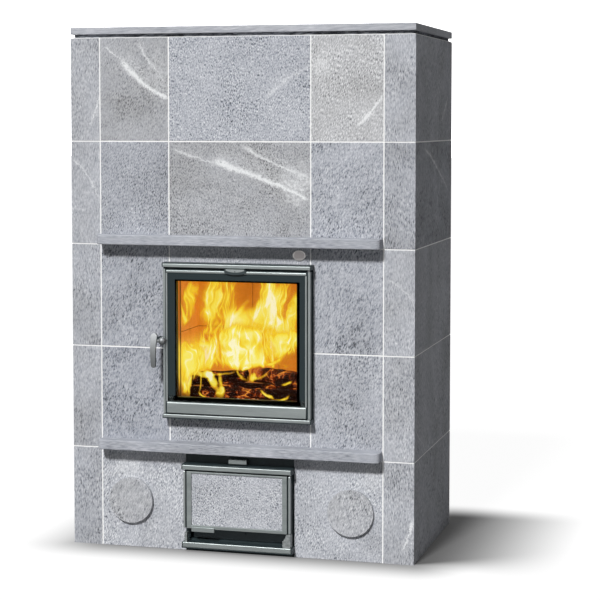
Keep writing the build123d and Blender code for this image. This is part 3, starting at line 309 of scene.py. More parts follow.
# Grate: a coarse iron casting with slots for the ash and the air, dropped into the rebate of the
# hearth and grey with ash.
cast_iron, spot = new_material("cast_iron")
sand = spot.noise(900, 3, 0.6)
ash = spot.noise(40, 4, 0.6)
surface(
    spot,
    base_color=ash.ease(0.45, 0.75).mix((0.03, 0.028, 0.027, 1), (0.2, 0.18, 0.17, 1)),
    metallic=0.6,
    roughness=sand * 0.2 + 0.6,
    normal=sand.bump(0.0003),
)
finish_nodes(cast_iron, "grate")

# Shell tiles and slabs: honed soapstone, sawn from different blocks, so that each stone has its
# own grey, its own grain and, here and there, white talc veins. They are laid in courses.
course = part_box("tile_row1_left")[1].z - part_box("tile_row2_left")[1].z
lowest_joint = (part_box("tile_row5_left")[1].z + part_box("tile_row4_left")[0].z) / 2


def follow(x, z, start, end, bow):
    """A place's share of the way from start to end, and its distance from that line, bowed."""
    run_x, run_z = end[0] - start[0], end[1] - start[1]
    length = math.hypot(run_x, run_z)
    run_x, run_z = run_x / length, run_z / length
    share = ((x - start[0]) * run_x + (z - start[1]) * run_z) / length
    across = (z - start[1]) * run_x - (x - start[0]) * run_z
    return share, across - share * (1 - share) * (4 * bow)


def soapstone(
    name, seed, light=0.0, blue=0.5, spots=0.0, lean=0.3, run=1.7, bold=1.0, slabs=False,
    veins=(), clouds=(),
):
    """Soapstone with steep grain, dark dots and light flecks. Its white veins are given as start,
    end, bow, width and strength, and its pale clouds as middle, size and strength, all by x and z.
    Slabs are one node for all courses: each is its own block, and veins go on round the corner."""
    made, spot = new_material(name)
    shifted = spot.place(moved=(seed * 0.37, seed * 0.61, seed * 0.83))
    block = 0.5
    x, z = spot.axis(0), spot.axis(2)
    if slabs:
        side = spot.maths("SIGN", x)
        layer = spot.maths("FLOOR", (z + (course - lowest_joint)) / course)
        block = spot.node("ShaderNodeCombineXYZ", {0: side, 2: layer})
        block = block.node("ShaderNodeTexWhiteNoise", {0: block}, noise_dimensions="3D")
        shift = spot.node("ShaderNodeCombineXYZ", {0: block * 3, 2: block * 7})
        shifted = shifted.node("ShaderNodeVectorMath", {0: shifted, 1: shift}, operation="ADD")
        x = x + side * (spot.axis(1) - front)
    along = shifted.place(turned=(0, lean, 0), stretched=(1, 1, run))
    wide = shifted.noise(5.5, 4, 0.55, distortion=0.4)
    tufts = along.noise(38, 3, 0.6)
    grain = along.place(stretched=(1, 1, 1.6)).noise(310, 2, 0.5)
    dust = shifted.noise(420, 2, 0.6)
    dots = 1 - along.cells(135).ease(0.12, 0.42)
    pits = (1 - shifted.place(stretched=(1, 1, 1.2)).cells(78).ease(0.16, 0.46)) * spots
    flecks = (1 - shifted.place(moved=(0.004, 0, 0.003)).cells(80).ease(0.08, 0.3)) * spots
    rough = shifted.noise(7, 3, 0.5).ease(0.42, 0.6)
    thick = tufts.ease(0.38, 0.62) * (rough * 0.8 + 0.2)
    strong = (rough * 0.7 + 1.45 + spots * 0.6) * bold
    tone = 0.52 + (grain - 0.5) * strong
    tone = tone + (dust - 0.5) * (0.5 * bold) + (tufts - 0.5) * (0.3 * bold)
    tone = tone - dots * thick * (0.2 * bold) - pits * tufts.ease(0.35, 0.65) * 0.3 + flecks * 0.22
    tone = tone + (wide - 0.5) * 0.55 + (block - 0.5) * 0.14 + light
    wander = shifted.noise(24, 4, 0.65) - 0.5
    torn = shifted.noise(85, 4, 0.75)
    frayed = shifted.noise(210, 3, 0.7)
    white = None
    for start, end, bow, width, strength in veins:
        share, across = follow(x, z, start, end, bow)
        across = across + wander * 0.025 + (torn - 0.5) * 0.014 + (frayed - 0.5) * 0.012
        broad = 1.3 - share * 0.8
        ends = share.ease(-0.06, 0.08) * (1 - share.ease(0.92, 1.06))
        broken = spot.maths("MINIMUM", torn.ease(0.28, 0.5) + tufts.ease(0.4, 0.65), 1)
        core = (1 - (abs(across) / (broad * width) + torn * 1.6).ease(0.7, 2.1)) * broken
        halo = (1 - (abs(across - width * 1.5) / (width * 5)).ease(0, 1)) * frayed.ease(0.4, 0.7)
        line = (core * (0.9 * strength) + halo * (0.5 * strength)) * ends
        white = line if white is None else spot.maths("MAXIMUM", white, line)
    for middle, size, strength in clouds:
        far = ((x - middle[0]) / size[0]).reach((z - middle[1]) / size[1])
        veil = (1 - (far + wander * 1.2).ease(0.3, 1.1)) * (torn.ease(0.3, 0.7) * strength)
        white = veil if white is None else spot.maths("MAXIMUM", white, veil)
    cool = tone.ramp(
        (0.0, (0.045, 0.05, 0.06, 1)),
        (0.14, (0.17, 0.185, 0.215, 1)),
        (0.3, (0.33, 0.35, 0.40, 1)),
        (0.55, (0.47, 0.485, 0.53, 1)),
        (0.8, (0.6, 0.615, 0.65, 1)),
        (1.0, (0.78, 0.79, 0.81, 1)),
    )
    warm = tone.ramp(
        (0.0, (0.05, 0.05, 0.052, 1)),
        (0.14, (0.19, 0.19, 0.195, 1)),
        (0.3, (0.34, 0.342, 0.35, 1)),
        (0.55, (0.47, 0.472, 0.48, 1)),
        (0.8, (0.6, 0.6, 0.61, 1)),
        (1.0, (0.78, 0.78, 0.79, 1)),
    )
    colour = ((wide - 0.5) * 0.8 + blue).ease(0.0, 1.0).mix(warm, cool)
    if white is not None:
        colour = white.maths("MINIMUM", white, 0.9).mix(colour, (0.86, 0.87, 0.88, 1))
    relief = grain * 0.6 + dust * 0.2 - dots * thick * 0.5 - pits * 0.5
    surface(
        spot,
        base_color=colour,
        roughness=grain * 0.2 + 0.5,
        specular_ior_level=0.0,
        normal=relief.bump(0.0004),
    )
    return made


stone = soapstone(
    "stone_row1_left", 1, light=-0.08, blue=0.4, bold=0.63,
    veins=(
        ((-0.454, 1.636), (-0.40, 1.594), 0.0, 0.003, 0.7),
        ((-0.398, 1.590), (-0.236, 1.466), -0.012, 0.011, 1.0),
        ((-0.340, 1.646), (-0.246, 1.52), -0.004, 0.004, 0.6),
    ),
    clouds=(((-0.27, 1.56), (0.05, 0.09), 0.35),),
)
finish_nodes(stone, "tile_row1_left")
stone = soapstone(
    "stone_row1_middle", 2, light=0.02, blue=0.95, spots=0.85, lean=0.15, run=1.3,
    veins=(((0.09, 1.475), (0.236, 1.571), 0.004, 0.006, 0.4),),
)
finish_nodes(stone, "tile_row1_middle")
stone = soapstone(
    "stone_row1_right", 3, light=0.15, blue=0.3, bold=1.3,
    veins=(((0.388, 1.383), (0.470, 1.475), -0.006, 0.006, 0.9),),
    clouds=(((0.275, 1.57), (0.04, 0.05), 0.6),),
)
finish_nodes(stone, "tile_row1_right")
stone = soapstone("stone_row2_left", 4, light=-0.10, blue=0.7, lean=0.35, bold=0.95)
finish_nodes(stone, "tile_row2_left")
stone = soapstone(
    "stone_row2_middle", 5, light=-0.13, blue=0.3, bold=0.8, spots=0.3, lean=0.1, run=1.2,
    veins=(
        ((-0.218, 1.306), (-0.07, 1.261), -0.004, 0.004, 0.6),
        ((-0.085, 1.268), (0.232, 1.148), 0.006, 0.012, 1.0),
        ((0.012, 1.316), (0.235, 1.216), -0.006, 0.006, 0.7),
    ),
    clouds=(((0.19, 1.20), (0.07, 0.08), 0.8),),
)
finish_nodes(stone, "tile_row2_middle")
for place, seed, light, blue, bold in (
    ("row2_right", 6, -0.075, 0.75, 1.02),
    ("row3_left", 7, -0.1, 0.75, 0.83),
    ("row3_right", 8, -0.09, 0.75, 1.0),
    ("row4_left", 9, -0.14, 0.8, 0.71),
    ("row4_right", 10, -0.04, 0.75, 0.9),
):
    finish_nodes(soapstone("stone_" + place, seed, light, blue, bold=bold), "tile_" + place)
stone = soapstone(
    "stone_row5_left", 11, light=0.09, blue=0.75, bold=1.1, spots=0.2,
    clouds=(((-0.38, 0.26), (0.06, 0.05), 0.45),),
)
finish_nodes(stone, "tile_row5_left")
stone = soapstone(
    "stone_row5_right", 12, light=0.05, blue=0.75, bold=1.1, spots=0.2,
    clouds=(((0.43, 0.27), (0.06, 0.05), 0.4),),
)
finish_nodes(stone, "tile_row5_right")
finish_nodes(soapstone("stone_lintel", 13, blue=0.7), "lintel_tile")
finish_nodes(soapstone("stone_sill", 14, light=-0.03, blue=0.7), "sill_tile")
stone = soapstone(
    "stone_sides", 15, light=-0.06, blue=0.6, lean=0.06, run=2.2, bold=0.79, slabs=True,
    veins=(
        ((1.108, 1.472), (0.995, 1.396), 0.004, 0.004, 0.6),
        ((0.729, 1.308), (1.108, 1.168), 0.008, 0.005, 0.6),
        ((0.60, 0.42), (0.80, 0.30), 0.004, 0.003, 0.3),
        ((-0.478, 1.478), (-0.508, 1.384), 0.004, 0.003, 0.7),
        ((0.568, 0.14), (0.538, 0.044), 0.004, 0.004, 0.8),
        ((-0.566, 1.27), (-0.478, 1.14), 0.01, 0.003, 0.5),
        ((0.49, 0.9), (0.57, 0.83), 0.006, 0.003, 0.5),
    ),
)
finish_nodes(stone, "side_slabs")
finish_nodes(soapstone("stone_back", 16, blue=0.6, slabs=True), "back_slabs")

# Mortar: a pale lime joint between the stones, pressed in as they are laid and struck just behind
# their faces.
mortar, spot = new_material("pale_mortar")
grain = spot.noise(700, 3, 0.6)
surface(
    spot,
    base_color=grain.mix((0.9, 0.9, 0.89, 1), (1.0, 1.0, 0.99, 1)),
    roughness=0.85,
    specular_ior_level=0.2,
    normal=grain.bump(0.0002),
)
finish_nodes(mortar, "joint_mortar")

# Neck course, cover slab and shelves: thin soapstone slabs sawn along the grain. The shelves sit
# on steel dowels, and the cover slab lies on the set-back neck, which is coloured much darker as
# painted shade and has a thin bed of mortar that is partly a painted highlight.


def add_piece(name, shape, material, body, smooth=True):
    """Makes an object of a shape and lets it ride on a body. Narrow faces are shaded smooth."""
    made = bpy.data.objects.new(name, bpy.data.meshes.new(name))
    shape.to_mesh(made.data)
    shape.free()
    for face in made.data.polygons:
        face.use_smooth = smooth or face.area < 0.00004
    made.data.materials.append(material)
    scene.collection.objects.link(made)
    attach(made, body)
    return made


def ease_edges(node, material, body, width):
    """Puts a solid's twin with rounded edges in its place."""
    shape = bmesh.new()
    shape.from_mesh(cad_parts[node].data)
    bmesh.ops.remove_doubles(shape, verts=shape.verts, dist=0.00002)
    flat = math.radians(1)
    bmesh.ops.dissolve_limit(shape, angle_limit=flat, verts=shape.verts, edges=shape.edges)
    sharp = [edge for edge in shape.edges if edge.calc_face_angle(0) > math.radians(40)]
    bmesh.ops.bevel(
        shape, geom=sharp, offset=width, offset_type="OFFSET", affect="EDGES", segments=3,
        profile=0.5, material=-1, clamp_overlap=True,
    )
    eased = add_piece(node + "_eased", shape, material, body, smooth=False)
    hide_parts(node)


def add_block(shape, low, high):
    """Adds a block between its lowest and highest corner to a shape."""
    low, high = Vector(low), Vector(high)
    block = bmesh.ops.create_cube(shape, size=1)["verts"]
    bmesh.ops.scale(shape, vec=high - low, verts=block)
    bmesh.ops.translate(shape, vec=(low + high) / 2, verts=block)


def add_blocks_piece(name, shape, width, material, body):
    """Takes the sharpness off a shape of blocks, and makes a piece of it."""
    bmesh.ops.bevel(
        shape, geom=shape.edges, offset=width, affect="EDGES", segments=2, profile=0.5, material=-1
    )
    add_piece(name, shape, material, body, smooth=False)


# The neck stone is made much darker than the rest, a painted shade for the shadow under the cover
# slab.
neck_stone_painted_shade = soapstone("stone_neck_painted_shade", 17, light=-0.42, blue=0.6, lean=1.5, run=6, bold=0.5)
finish_nodes(neck_stone_painted_shade, "neck_course")
cover_stone = soapstone("stone_cover", 18, light=0.02, blue=0.7, lean=1.5, run=6, bold=0.5)
ease_edges("top_slab", cover_stone, "stove_body", 0.002)
shelf_stone = soapstone("stone_shelves", 19, light=-0.10, blue=0.7, lean=1.56, run=5, bold=0.5)
for shelf in ("upper_shelf", "lower_shelf"):
    ease_edges(shelf, shelf_stone, "stove_body", 0.003)
# A thin pale bed of mortar at the neck's foot; it also stands for the highlight along the tiles'
# top edge, a painted highlight.
mortar_low, mortar_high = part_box("joint_mortar")
inset, thickness = 0.00025, 0.002
neck_bed_and_highlight = bmesh.new()
add_block(
    neck_bed_and_highlight,
    (mortar_low.x + inset, mortar_low.y + inset, mortar_high.z),
    (mortar_high.x - inset, mortar_high.y - inset, mortar_high.z + thickness),
)
add_blocks_piece("neck_bed_and_highlight", neck_bed_and_highlight, 0.0006, mortar, "stove_body")

# Plaque: a small blank oval of cast metal, satin, with a polished rim. It is glued to the stone
# over the fire door.
plaque, spot = new_material("plaque_metal")
low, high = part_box("medallion")
middle, size = (low + high) / 2, (high - low) / 2
out = ((spot.axis(0) - middle.x) / size.x).reach((spot.axis(2) - middle.z) / size.z)
rim = out.ease(0.78, 0.84)
grain = spot.noise(900, 2, 0.6)
surface(
    spot,
    base_color=(rim * 0.7 + grain * 0.3).mix((0.36, 0.33, 0.33, 1), (0.62, 0.61, 0.6, 1)),
    metallic=0.8,
    roughness=rim * -0.2 + 0.5,
    normal=(grain * 0.2 - rim * 0.6).bump(0.0003),
)
finish_nodes(plaque, "medallion")

# Cleaning covers: turned soapstone discs that are pushed into the two cleaning holes by the cups on
# their backs.
finish_nodes(soapstone("stone_left_cover", 20, blue=0.45, bold=0.9), "left_soot_cover")
finish_nodes(soapstone("stone_right_cover", 21, blue=0.45, bold=0.9), "right_soot_cover")

# Cups of the cleaning covers and flue collar: dark rolled sheet steel. The cups close the holes,
# and the collar lines the flue hole in the back.
dark_sheet, spot = new_material("dark_sheet_steel")
rolled = spot.place(stretched=(4, 1, 1)).noise(300, 3, 0.6)
soot = spot.noise(24, 4, 0.6)
surface(
    spot,
    base_color=soot.mix((0.024, 0.034, 0.038, 1), (0.042, 0.056, 0.062, 1)),
    metallic=0.3,
    roughness=rolled * 0.2 + 0.45,
    normal=rolled.bump(0.0001),
)
finish_nodes(dark_sheet, "left_soot_plug", "right_soot_plug", "flue_collar")

# Dowels, hinge pins and spindle: turned steel bar. The dowels stand in holes in the stone, and the
# pins and the spindle are greased.
turned_steel, spot = new_material("turned_steel")
rings = spot.place(stretched=(1, 1, 0.2)).noise(400, 2, 0.5)
surface(
    spot,
    base_color=rings.mix((0.2, 0.2, 0.21, 1), (0.32, 0.32, 0.33, 1)),
    metallic=1.0,
    roughness=rings * 0.15 + 0.25,
    normal=rings.bump(0.00005),
)
finish_nodes(
    turned_steel, "shelf_dowels", "fire_door_hinge_pins", "ash_hinge_pins", "handle_spindle"
)

# Ash door casing, leaves, keeper and cam: cast and folded iron under heat-proof black lacquer, with
# a faint green-blue cast and rubbed corners. The casing reaches through the stone to the core.
lacquer_black, lacquer_worn = (0.018, 0.028, 0.031, 1), (0.028, 0.041, 0.045, 1)


def lacquer(spot, **glow):
    """Closes a material with black lacquer, which may glow."""
    worn = spot.noise(60, 4, 0.6)
    surface(
        spot,
        base_color=worn.ease(0.3, 0.8).mix(lacquer_black, lacquer_worn),
        roughness=worn * 0.2 + 0.32,
        specular_ior_level=0.25,
        normal=spot.noise(1300, 2, 0.5).bump(0.00006),
        **glow,
    )


black_iron, spot = new_material("black_lacquer")
lacquer(spot)
finish_nodes(
    black_iron, "latch_keeper", "ash_door_casing", "fire_door_leaf", "latch_cam", "ash_door_leaf"
)

# Fire door casing: the same lacquered iron, welded up from a frame and a tube through the wall. The
# tube's sides have the fire's orange light painted on them as a glow.
lit_iron, spot = new_material("black_lacquer_in_firelight")
tube_end, tube_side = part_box("fire_door_casing")[1].y, 0.226
depth, far = spot.axis(1), abs(spot.axis(0))
lit = depth.ease(-0.322, -0.25) * (1 - depth.ease(tube_end + 0.0001, tube_end + 0.0003))
lit = lit * far.ease(tube_side - 0.0005, tube_side - 0.0002)
lit = lit * (1 - far.ease(tube_side + 0.0002, tube_side + 0.0005))
lit = lit * spot.axis(2).ease(0.48, 0.56)
painted_firelight_colour = firelight(spot, (0.5, 0.56), (0.64, 0.7), (-0.1, 0.1), 40, (0.5, 0.13, 0.01, 1))
lacquer(spot, emission_color=lit.mix((0, 0, 0, 1), painted_firelight_colour), emission_strength=1.0)
finish_nodes(lit_iron, "fire_door_casing")

# Trim bars, rails, band, frame, pull and lower air slide: flat steel brushed along its length, grey
# with a green tinge. All but the slide are screwed to the black iron from behind.


def brushed(name, direction, dark, pale, satin=0.3):
    """Steel brushed along an axis."""
    made, spot = new_material(name)
    stretch = [1.0, 1.0, 1.0]
    stretch[direction] = 60.0
    hairs = spot.place(stretched=stretch).noise(2400, 3, 0.65)
    sweep = spot.place(stretched=[value ** 0.5 for value in stretch]).noise(30, 3, 0.5)
    surface(
        spot,
        base_color=(hairs * 0.5 + sweep * 0.5).ease(0.3, 0.7).mix(dark, pale),
        metallic=1.0,
        roughness=hairs * 0.15 + satin,
        normal=hairs.bump(0.00004),
    )
    return made


across = brushed("steel_brushed_across", 0, (0.225, 0.25, 0.248, 1), (0.33, 0.36, 0.357, 1), 0.36)
finish_nodes(across, "primary_air_slide")
ease_edges("casing_trim_bars", across, "stove_body", 0.0025)
ease_edges("fire_door_top_rails", across, "fire_door", 0.002)
ease_edges("fire_door_band", across, "fire_door", 0.0015)
ease_edges("ash_panel_frame", across, "ash_door", 0.001)
ease_edges("ash_finger_pull", across, "ash_door", 0.001)

# Edge bars and glass beads: the same flat steel, brushed upright. The bars are screwed to both
# doors along their sides, and the beads hold the glass.
upright = brushed("steel_brushed_upright", 2, (0.28, 0.31, 0.307, 1), (0.41, 0.44, 0.436, 1))
finish_nodes(upright, "glass_beads")
ease_edges("fire_door_edge_bars", upright, "fire_door", 0.002)
ease_edges("ash_door_edge_bars", upright, "ash_door", 0.002)

# Lever: a steel forging with its hub, ground along its length and darker than the bars. It is
# clamped to the spindle.
ground = brushed("steel_lever", 2, (0.17, 0.178, 0.18, 1), (0.26, 0.27, 0.275, 1), 0.48)
finish_nodes(ground, "handle_lever")

# Stone panel of the ash door: a thin soapstone plate, sawn across the grain, which lies in the leaf
# behind the flat frame.
panel_stone = soapstone(
    "stone_ash_panel", 22, light=0.07, blue=0.75, bold=0.97, spots=0.8, lean=0.2, run=0.95
)
finish_nodes(panel_stone, "ash_stone_panel")

# Casing lips: thin black steel folded round the ends and the outer edge of each trim bar, and
# welded to the hood and sill plates. Another stands along the fire door's closing edge, in two
# runs, with room for the lever between them.
lip, lip_front = 0.003, -0.3438
fire_low, fire_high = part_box("fire_door_casing")
fire_half, ash_half = fire_high.x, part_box("ash_door_casing")[1].x
hood_foot, sill_top = fire_high.z - 0.012, fire_low.z + 0.011
lips = bmesh.new()
for half, foot, top, over in (
    (fire_half, hood_foot, fire_high.z, True),
    (fire_half, fire_low.z, sill_top, False),
    (ash_half, 0.2725, 0.288, True),
    (ash_half, 0.019, 0.036, False),
):
    lip_foot = top if over else foot - lip
    add_block(lips, (-half - lip, lip_front, lip_foot), (half + lip, front, lip_foot + lip))
    add_block(lips, (-half - lip, lip_front, foot), (-half, front, top))
    add_block(lips, (half, lip_front, foot), (half + lip, front, top))
closing_edge, edge_front = -0.2498, front - 0.022
lever_foot, lever_top = 0.66, 0.73
for foot, top in ((sill_top, lever_foot), (lever_top, hood_foot)):
    add_block(lips, (closing_edge, edge_front, foot), (closing_edge + lip, front, top))
add_blocks_piece("casing_lips", lips, 0.0007, black_iron, "stove_body")

# Air-wash slide: a steel strip behind the fire door's top rails, with a finger tab. The tab's ends
# and its part below a bowed line are black lacquer as painted shade under its curved lip; its
# middle above that line is bare brushed steel, pale as a painted highlight, with the dark rivet
# which holds it.
tab, spot = new_material("steel_finger_tab")
x, z = spot.axis(0), spot.axis(2)
pale_arc_half, pale_arc_foot, bow, rivet, rivet_radius = 0.030, 0.9155, 6.1, 0.9185, 0.002
hairs = spot.place(stretched=(60, 1, 1)).noise(2400, 3, 0.65)
bare_steel_and_highlight = (z - x * x * bow).ease(pale_arc_foot, pale_arc_foot + 0.001)
bare_steel_and_highlight = bare_steel_and_highlight * (1 - abs(x).ease(pale_arc_half, pale_arc_half + 0.001))
bare_steel_and_highlight = bare_steel_and_highlight * x.reach(z - rivet).ease(rivet_radius - 0.00025, rivet_radius + 0.00025)
surface(
    spot,
    base_color=bare_steel_and_highlight.mix(lacquer_black, (0.3, 0.328, 0.325, 1)),
    metallic=bare_steel_and_highlight,
    roughness=hairs * 0.15 + 0.36,
    normal=hairs.bump(0.00004),
)
finish_nodes(tab, "air_wash_slide")

# Ash box: folded from dark sheet steel and pushed in under the grate. Its front is a plate nearly
# as wide as the mouth of the casing, spot welded on, with its upper edge rolled over.
finish_nodes(dark_sheet, "ash_box")
half, back, thickness, roll = 0.16, -0.2933, 0.0024, 0.005
foot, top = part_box("ash_box")[0].z + 0.0015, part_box("ash_box")[1].z
plate = bmesh.new()
add_block(plate, (-half, back - thickness, foot), (half, back, top - 0.002))
add_block(plate, (-half, back - roll, top - 0.003), (half, back, top))
add_blocks_piece("ash_box_front", plate, 0.0006, dark_sheet, "ash_box_body")

# Bracket and stop post on the ash door's sill: small castings with a thin zinc skin. The bracket
# holds the lower hinge pin.
zinc, spot = new_material("zinc_skin")
skin = spot.noise(120, 4, 0.65)
surface(
    spot,
    base_color=skin.ease(0.3, 0.7).mix((0.16, 0.175, 0.175, 1), (0.3, 0.32, 0.32, 1)),
    metallic=0.5,
    roughness=skin * 0.2 + 0.4,
    normal=skin.bump(0.0001),
)
finish_nodes(zinc, "ash_door_brackets")

# Seals: braided glass rope, glued in the leaf's groove and pressed on the casing, and flat tape
# under the glass.
rope, spot = new_material("glass_rope")
slanted = spot.place(turned=(0, 0.8, 0))
strands = spot.node("ShaderNodeTexWave", {"Vector": slanted, "Scale": 160.0, "Distortion": 3.0})
surface(
    spot,
    base_color=strands.mix((0.05, 0.05, 0.05, 1), (0.2, 0.19, 0.18, 1)),
    roughness=0.95,
    normal=strands.bump(0.0005),
)
finish_nodes(rope, "fire_door_seals")

# Fire door glass: a clear ceramic pane held by its beads. Its edge is printed with black enamel,
# which hides the tape behind it.
glass, spot = new_material("ceramic_glass")
smear = spot.noise(14, 3, 0.5)
x, z = spot.axis(0), spot.axis(2)
clear_left, clear_right, clear_foot, clear_top = 0.204, 0.211, 0.511, 0.8885
printed = (0 - x).ease(clear_left, clear_left + 0.001) + x.ease(clear_right, clear_right + 0.001)
printed = spot.maths("MAXIMUM", printed, z.ease(clear_top, clear_top + 0.001))
printed = printed * z.ease(clear_foot, clear_foot + 0.002)
pane = spot.node(
    "ShaderNodeBsdfPrincipled",
    {
        "Base Color": (0.98, 0.975, 0.95, 1),
        "Roughness": smear * 0.02,
        "Transmission Weight": 1.0,
        "IOR": 1.1,
    },
)
enamel = spot.node(
    "ShaderNodeBsdfPrincipled",
    {"Base Color": lacquer_black, "Roughness": 0.35, "Specular IOR Level": 0.25},
)
printed_pane = spot.node("ShaderNodeMixShader", {0: printed, 1: pane, 2: enamel})
spot.node("ShaderNodeOutputMaterial", {0: printed_pane})
finish_nodes(glass, "fire_door_glass")

# Logs: four round logs burnt black, with glowing cracks. Two lie along the embers and two across
# them, all loose.
burnt_wood, spot = new_material("burnt_wood")
bark = spot.place(stretched=(4, 1, 1)).noise(110, 4, 0.65)
cracks = spot.place(stretched=(1.6, 1, 1)).cells(55, feature="DISTANCE_TO_EDGE").ease(0.02, 0.12)
warmth = spot.noise(16, 3, 0.6)
fierce = (1 - cracks) * warmth.ease(0.48, 0.62) * 0.6 + warmth.ease(0.5, 0.66) * 0.45
heated = (1 - spot.axis(0).ease(0.0, 0.05)) * spot.axis(0).ease(-0.03, -0.01)
fierce = fierce + heated * spot.axis(2).ease(0.54, 0.56) * 0.8
surface(
    spot,
    base_color=bark.ease(0.35, 0.7).mix((0.004, 0.003, 0.003, 1), (0.03, 0.011, 0.007, 1)),
    roughness=0.9,
    specular_ior_level=0.1,
    emission_color=(fierce * (bark * 1.2 + 0.2)).ramp(
        (0.0, (0.005, 0.001, 0.0005, 1)),
        (0.3, (0.06, 0.008, 0.002, 1)),
        (0.6, (0.42, 0.07, 0.01, 1)),
        (1.0, (0.9, 0.4, 0.05, 1)),
    ),
    emission_strength=1.0,
    normal=(bark + cracks).bump(0.002),
)
logs = bmesh.new()
for start, end, radius, seed in (
    ((-0.1985, -0.2005, 0.505), (0.1865, -0.2005, 0.505), 0.0205, 3),
    ((-0.1865, -0.096, 0.505), (0.1985, -0.096, 0.505), 0.0205, 5),
    ((-0.004, -0.0895, 0.555), (0.172, -0.207, 0.555), 0.029, 8),
    ((-0.196, -0.207, 0.549), (-0.04, -0.0895, 0.549), 0.023, 11),
):
    log = bmesh.new()
    line = Vector(end) - Vector(start)
    bmesh.ops.create_cone(
        log, cap_ends=True, segments=28, radius1=radius, radius2=radius * 0.94, depth=line.length
    )
    lengthwise = [
        edge for edge in log.edges if abs(edge.verts[0].co.z - edge.verts[1].co.z) > 0.01
    ]
    bmesh.ops.subdivide_edges(log, edges=lengthwise, cuts=44, use_grid_fill=True)
    for face in [face for face in log.faces if len(face.verts) > 4]:
        bmesh.ops.inset_individual(log, faces=[face], thickness=radius * 0.3)
    for vertex in log.verts:
        around = Vector((vertex.co.x, vertex.co.y, 0))
        if around.length > 0:
            place = Vector((vertex.co.x * 60, vertex.co.y * 60, vertex.co.z * 10 + seed))
            ridges = noise.noise(place) + 0.5 * noise.noise(place * 2.7)
            vertex.co += around.normalized() * (ridges * 0.004 - 0.001)
    turn = line.to_track_quat("Z", "Y").to_matrix().to_4x4()
    middle = Matrix.Translation((Vector(start) + Vector(end)) / 2)
    bmesh.ops.transform(log, matrix=middle @ turn, verts=log.verts)
    finished = bpy.data.meshes.new("log")
    log.to_mesh(finished)
    log.free()
    logs.from_mesh(finished)
    bpy.data.meshes.remove(finished)
logs_piece = add_piece("burning_logs", logs, burnt_wood, "stove_body")
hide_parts("logs_and_embers")

# Ember bed: lumps of glowing charcoal, dull red to orange under a thin grey ash. They lie in a heap
# on the grate and the hearth.
embers, spot = new_material("embers")
lumps = spot.noise(70, 3, 0.6)
warmth = spot.noise(22, 2, 0.5)
surface(
    spot,
    base_color=lumps.mix((0.01, 0.008, 0.007, 1), (0.06, 0.045, 0.04, 1)),
    roughness=0.95,
    specular_ior_level=0.1,
    emission_color=(lumps * 0.5 + warmth * 0.5).ramp(
        (0.40, (0.01, 0.002, 0.0, 1)),
        (0.50, (0.16, 0.02, 0.006, 1)),
        (0.58, (0.75, 0.16, 0.04, 1)),
        (0.68, (1.0, 0.5, 0.2, 1)),
    ),
    emission_strength=1.0,
    normal=lumps.bump(0.001),
)
hearth_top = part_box("firebox_floor")[1].z
dice = random.Random(7)
bed = bmesh.new()
for _ in range(420):
    size = dice.uniform(0.006, 0.014)
    x, y = dice.uniform(-0.2, 0.2), dice.uniform(-0.22, -0.075)
    z = hearth_top + size * 0.6 + dice.uniform(0, 0.012) * (1 - abs(x) / 0.3)
    lump = (dice.uniform(0.7, 1.3), dice.uniform(0.7, 1.3), dice.uniform(0.6, 1), 1)
    turn = Matrix.Rotation(dice.uniform(0, 6.28), 4, Vector((dice.random(), dice.random(), 1)))
    place = Matrix.Translation((x, y, z)) @ turn @ Matrix.Diagonal(lump)
    bmesh.ops.create_icosphere(bed, subdivisions=1, radius=size, matrix=place)
ember_bed = add_piece("ember_bed", bed, embers, "stove_body")
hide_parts("logs_and_embers")

# Flames: thin curved sheets of glowing gas behind each other, from the tongues before the back
# wall to the bright licks round the logs.
flames_wide, flames_foot, flames_top = 0.434, 0.48, 0.96


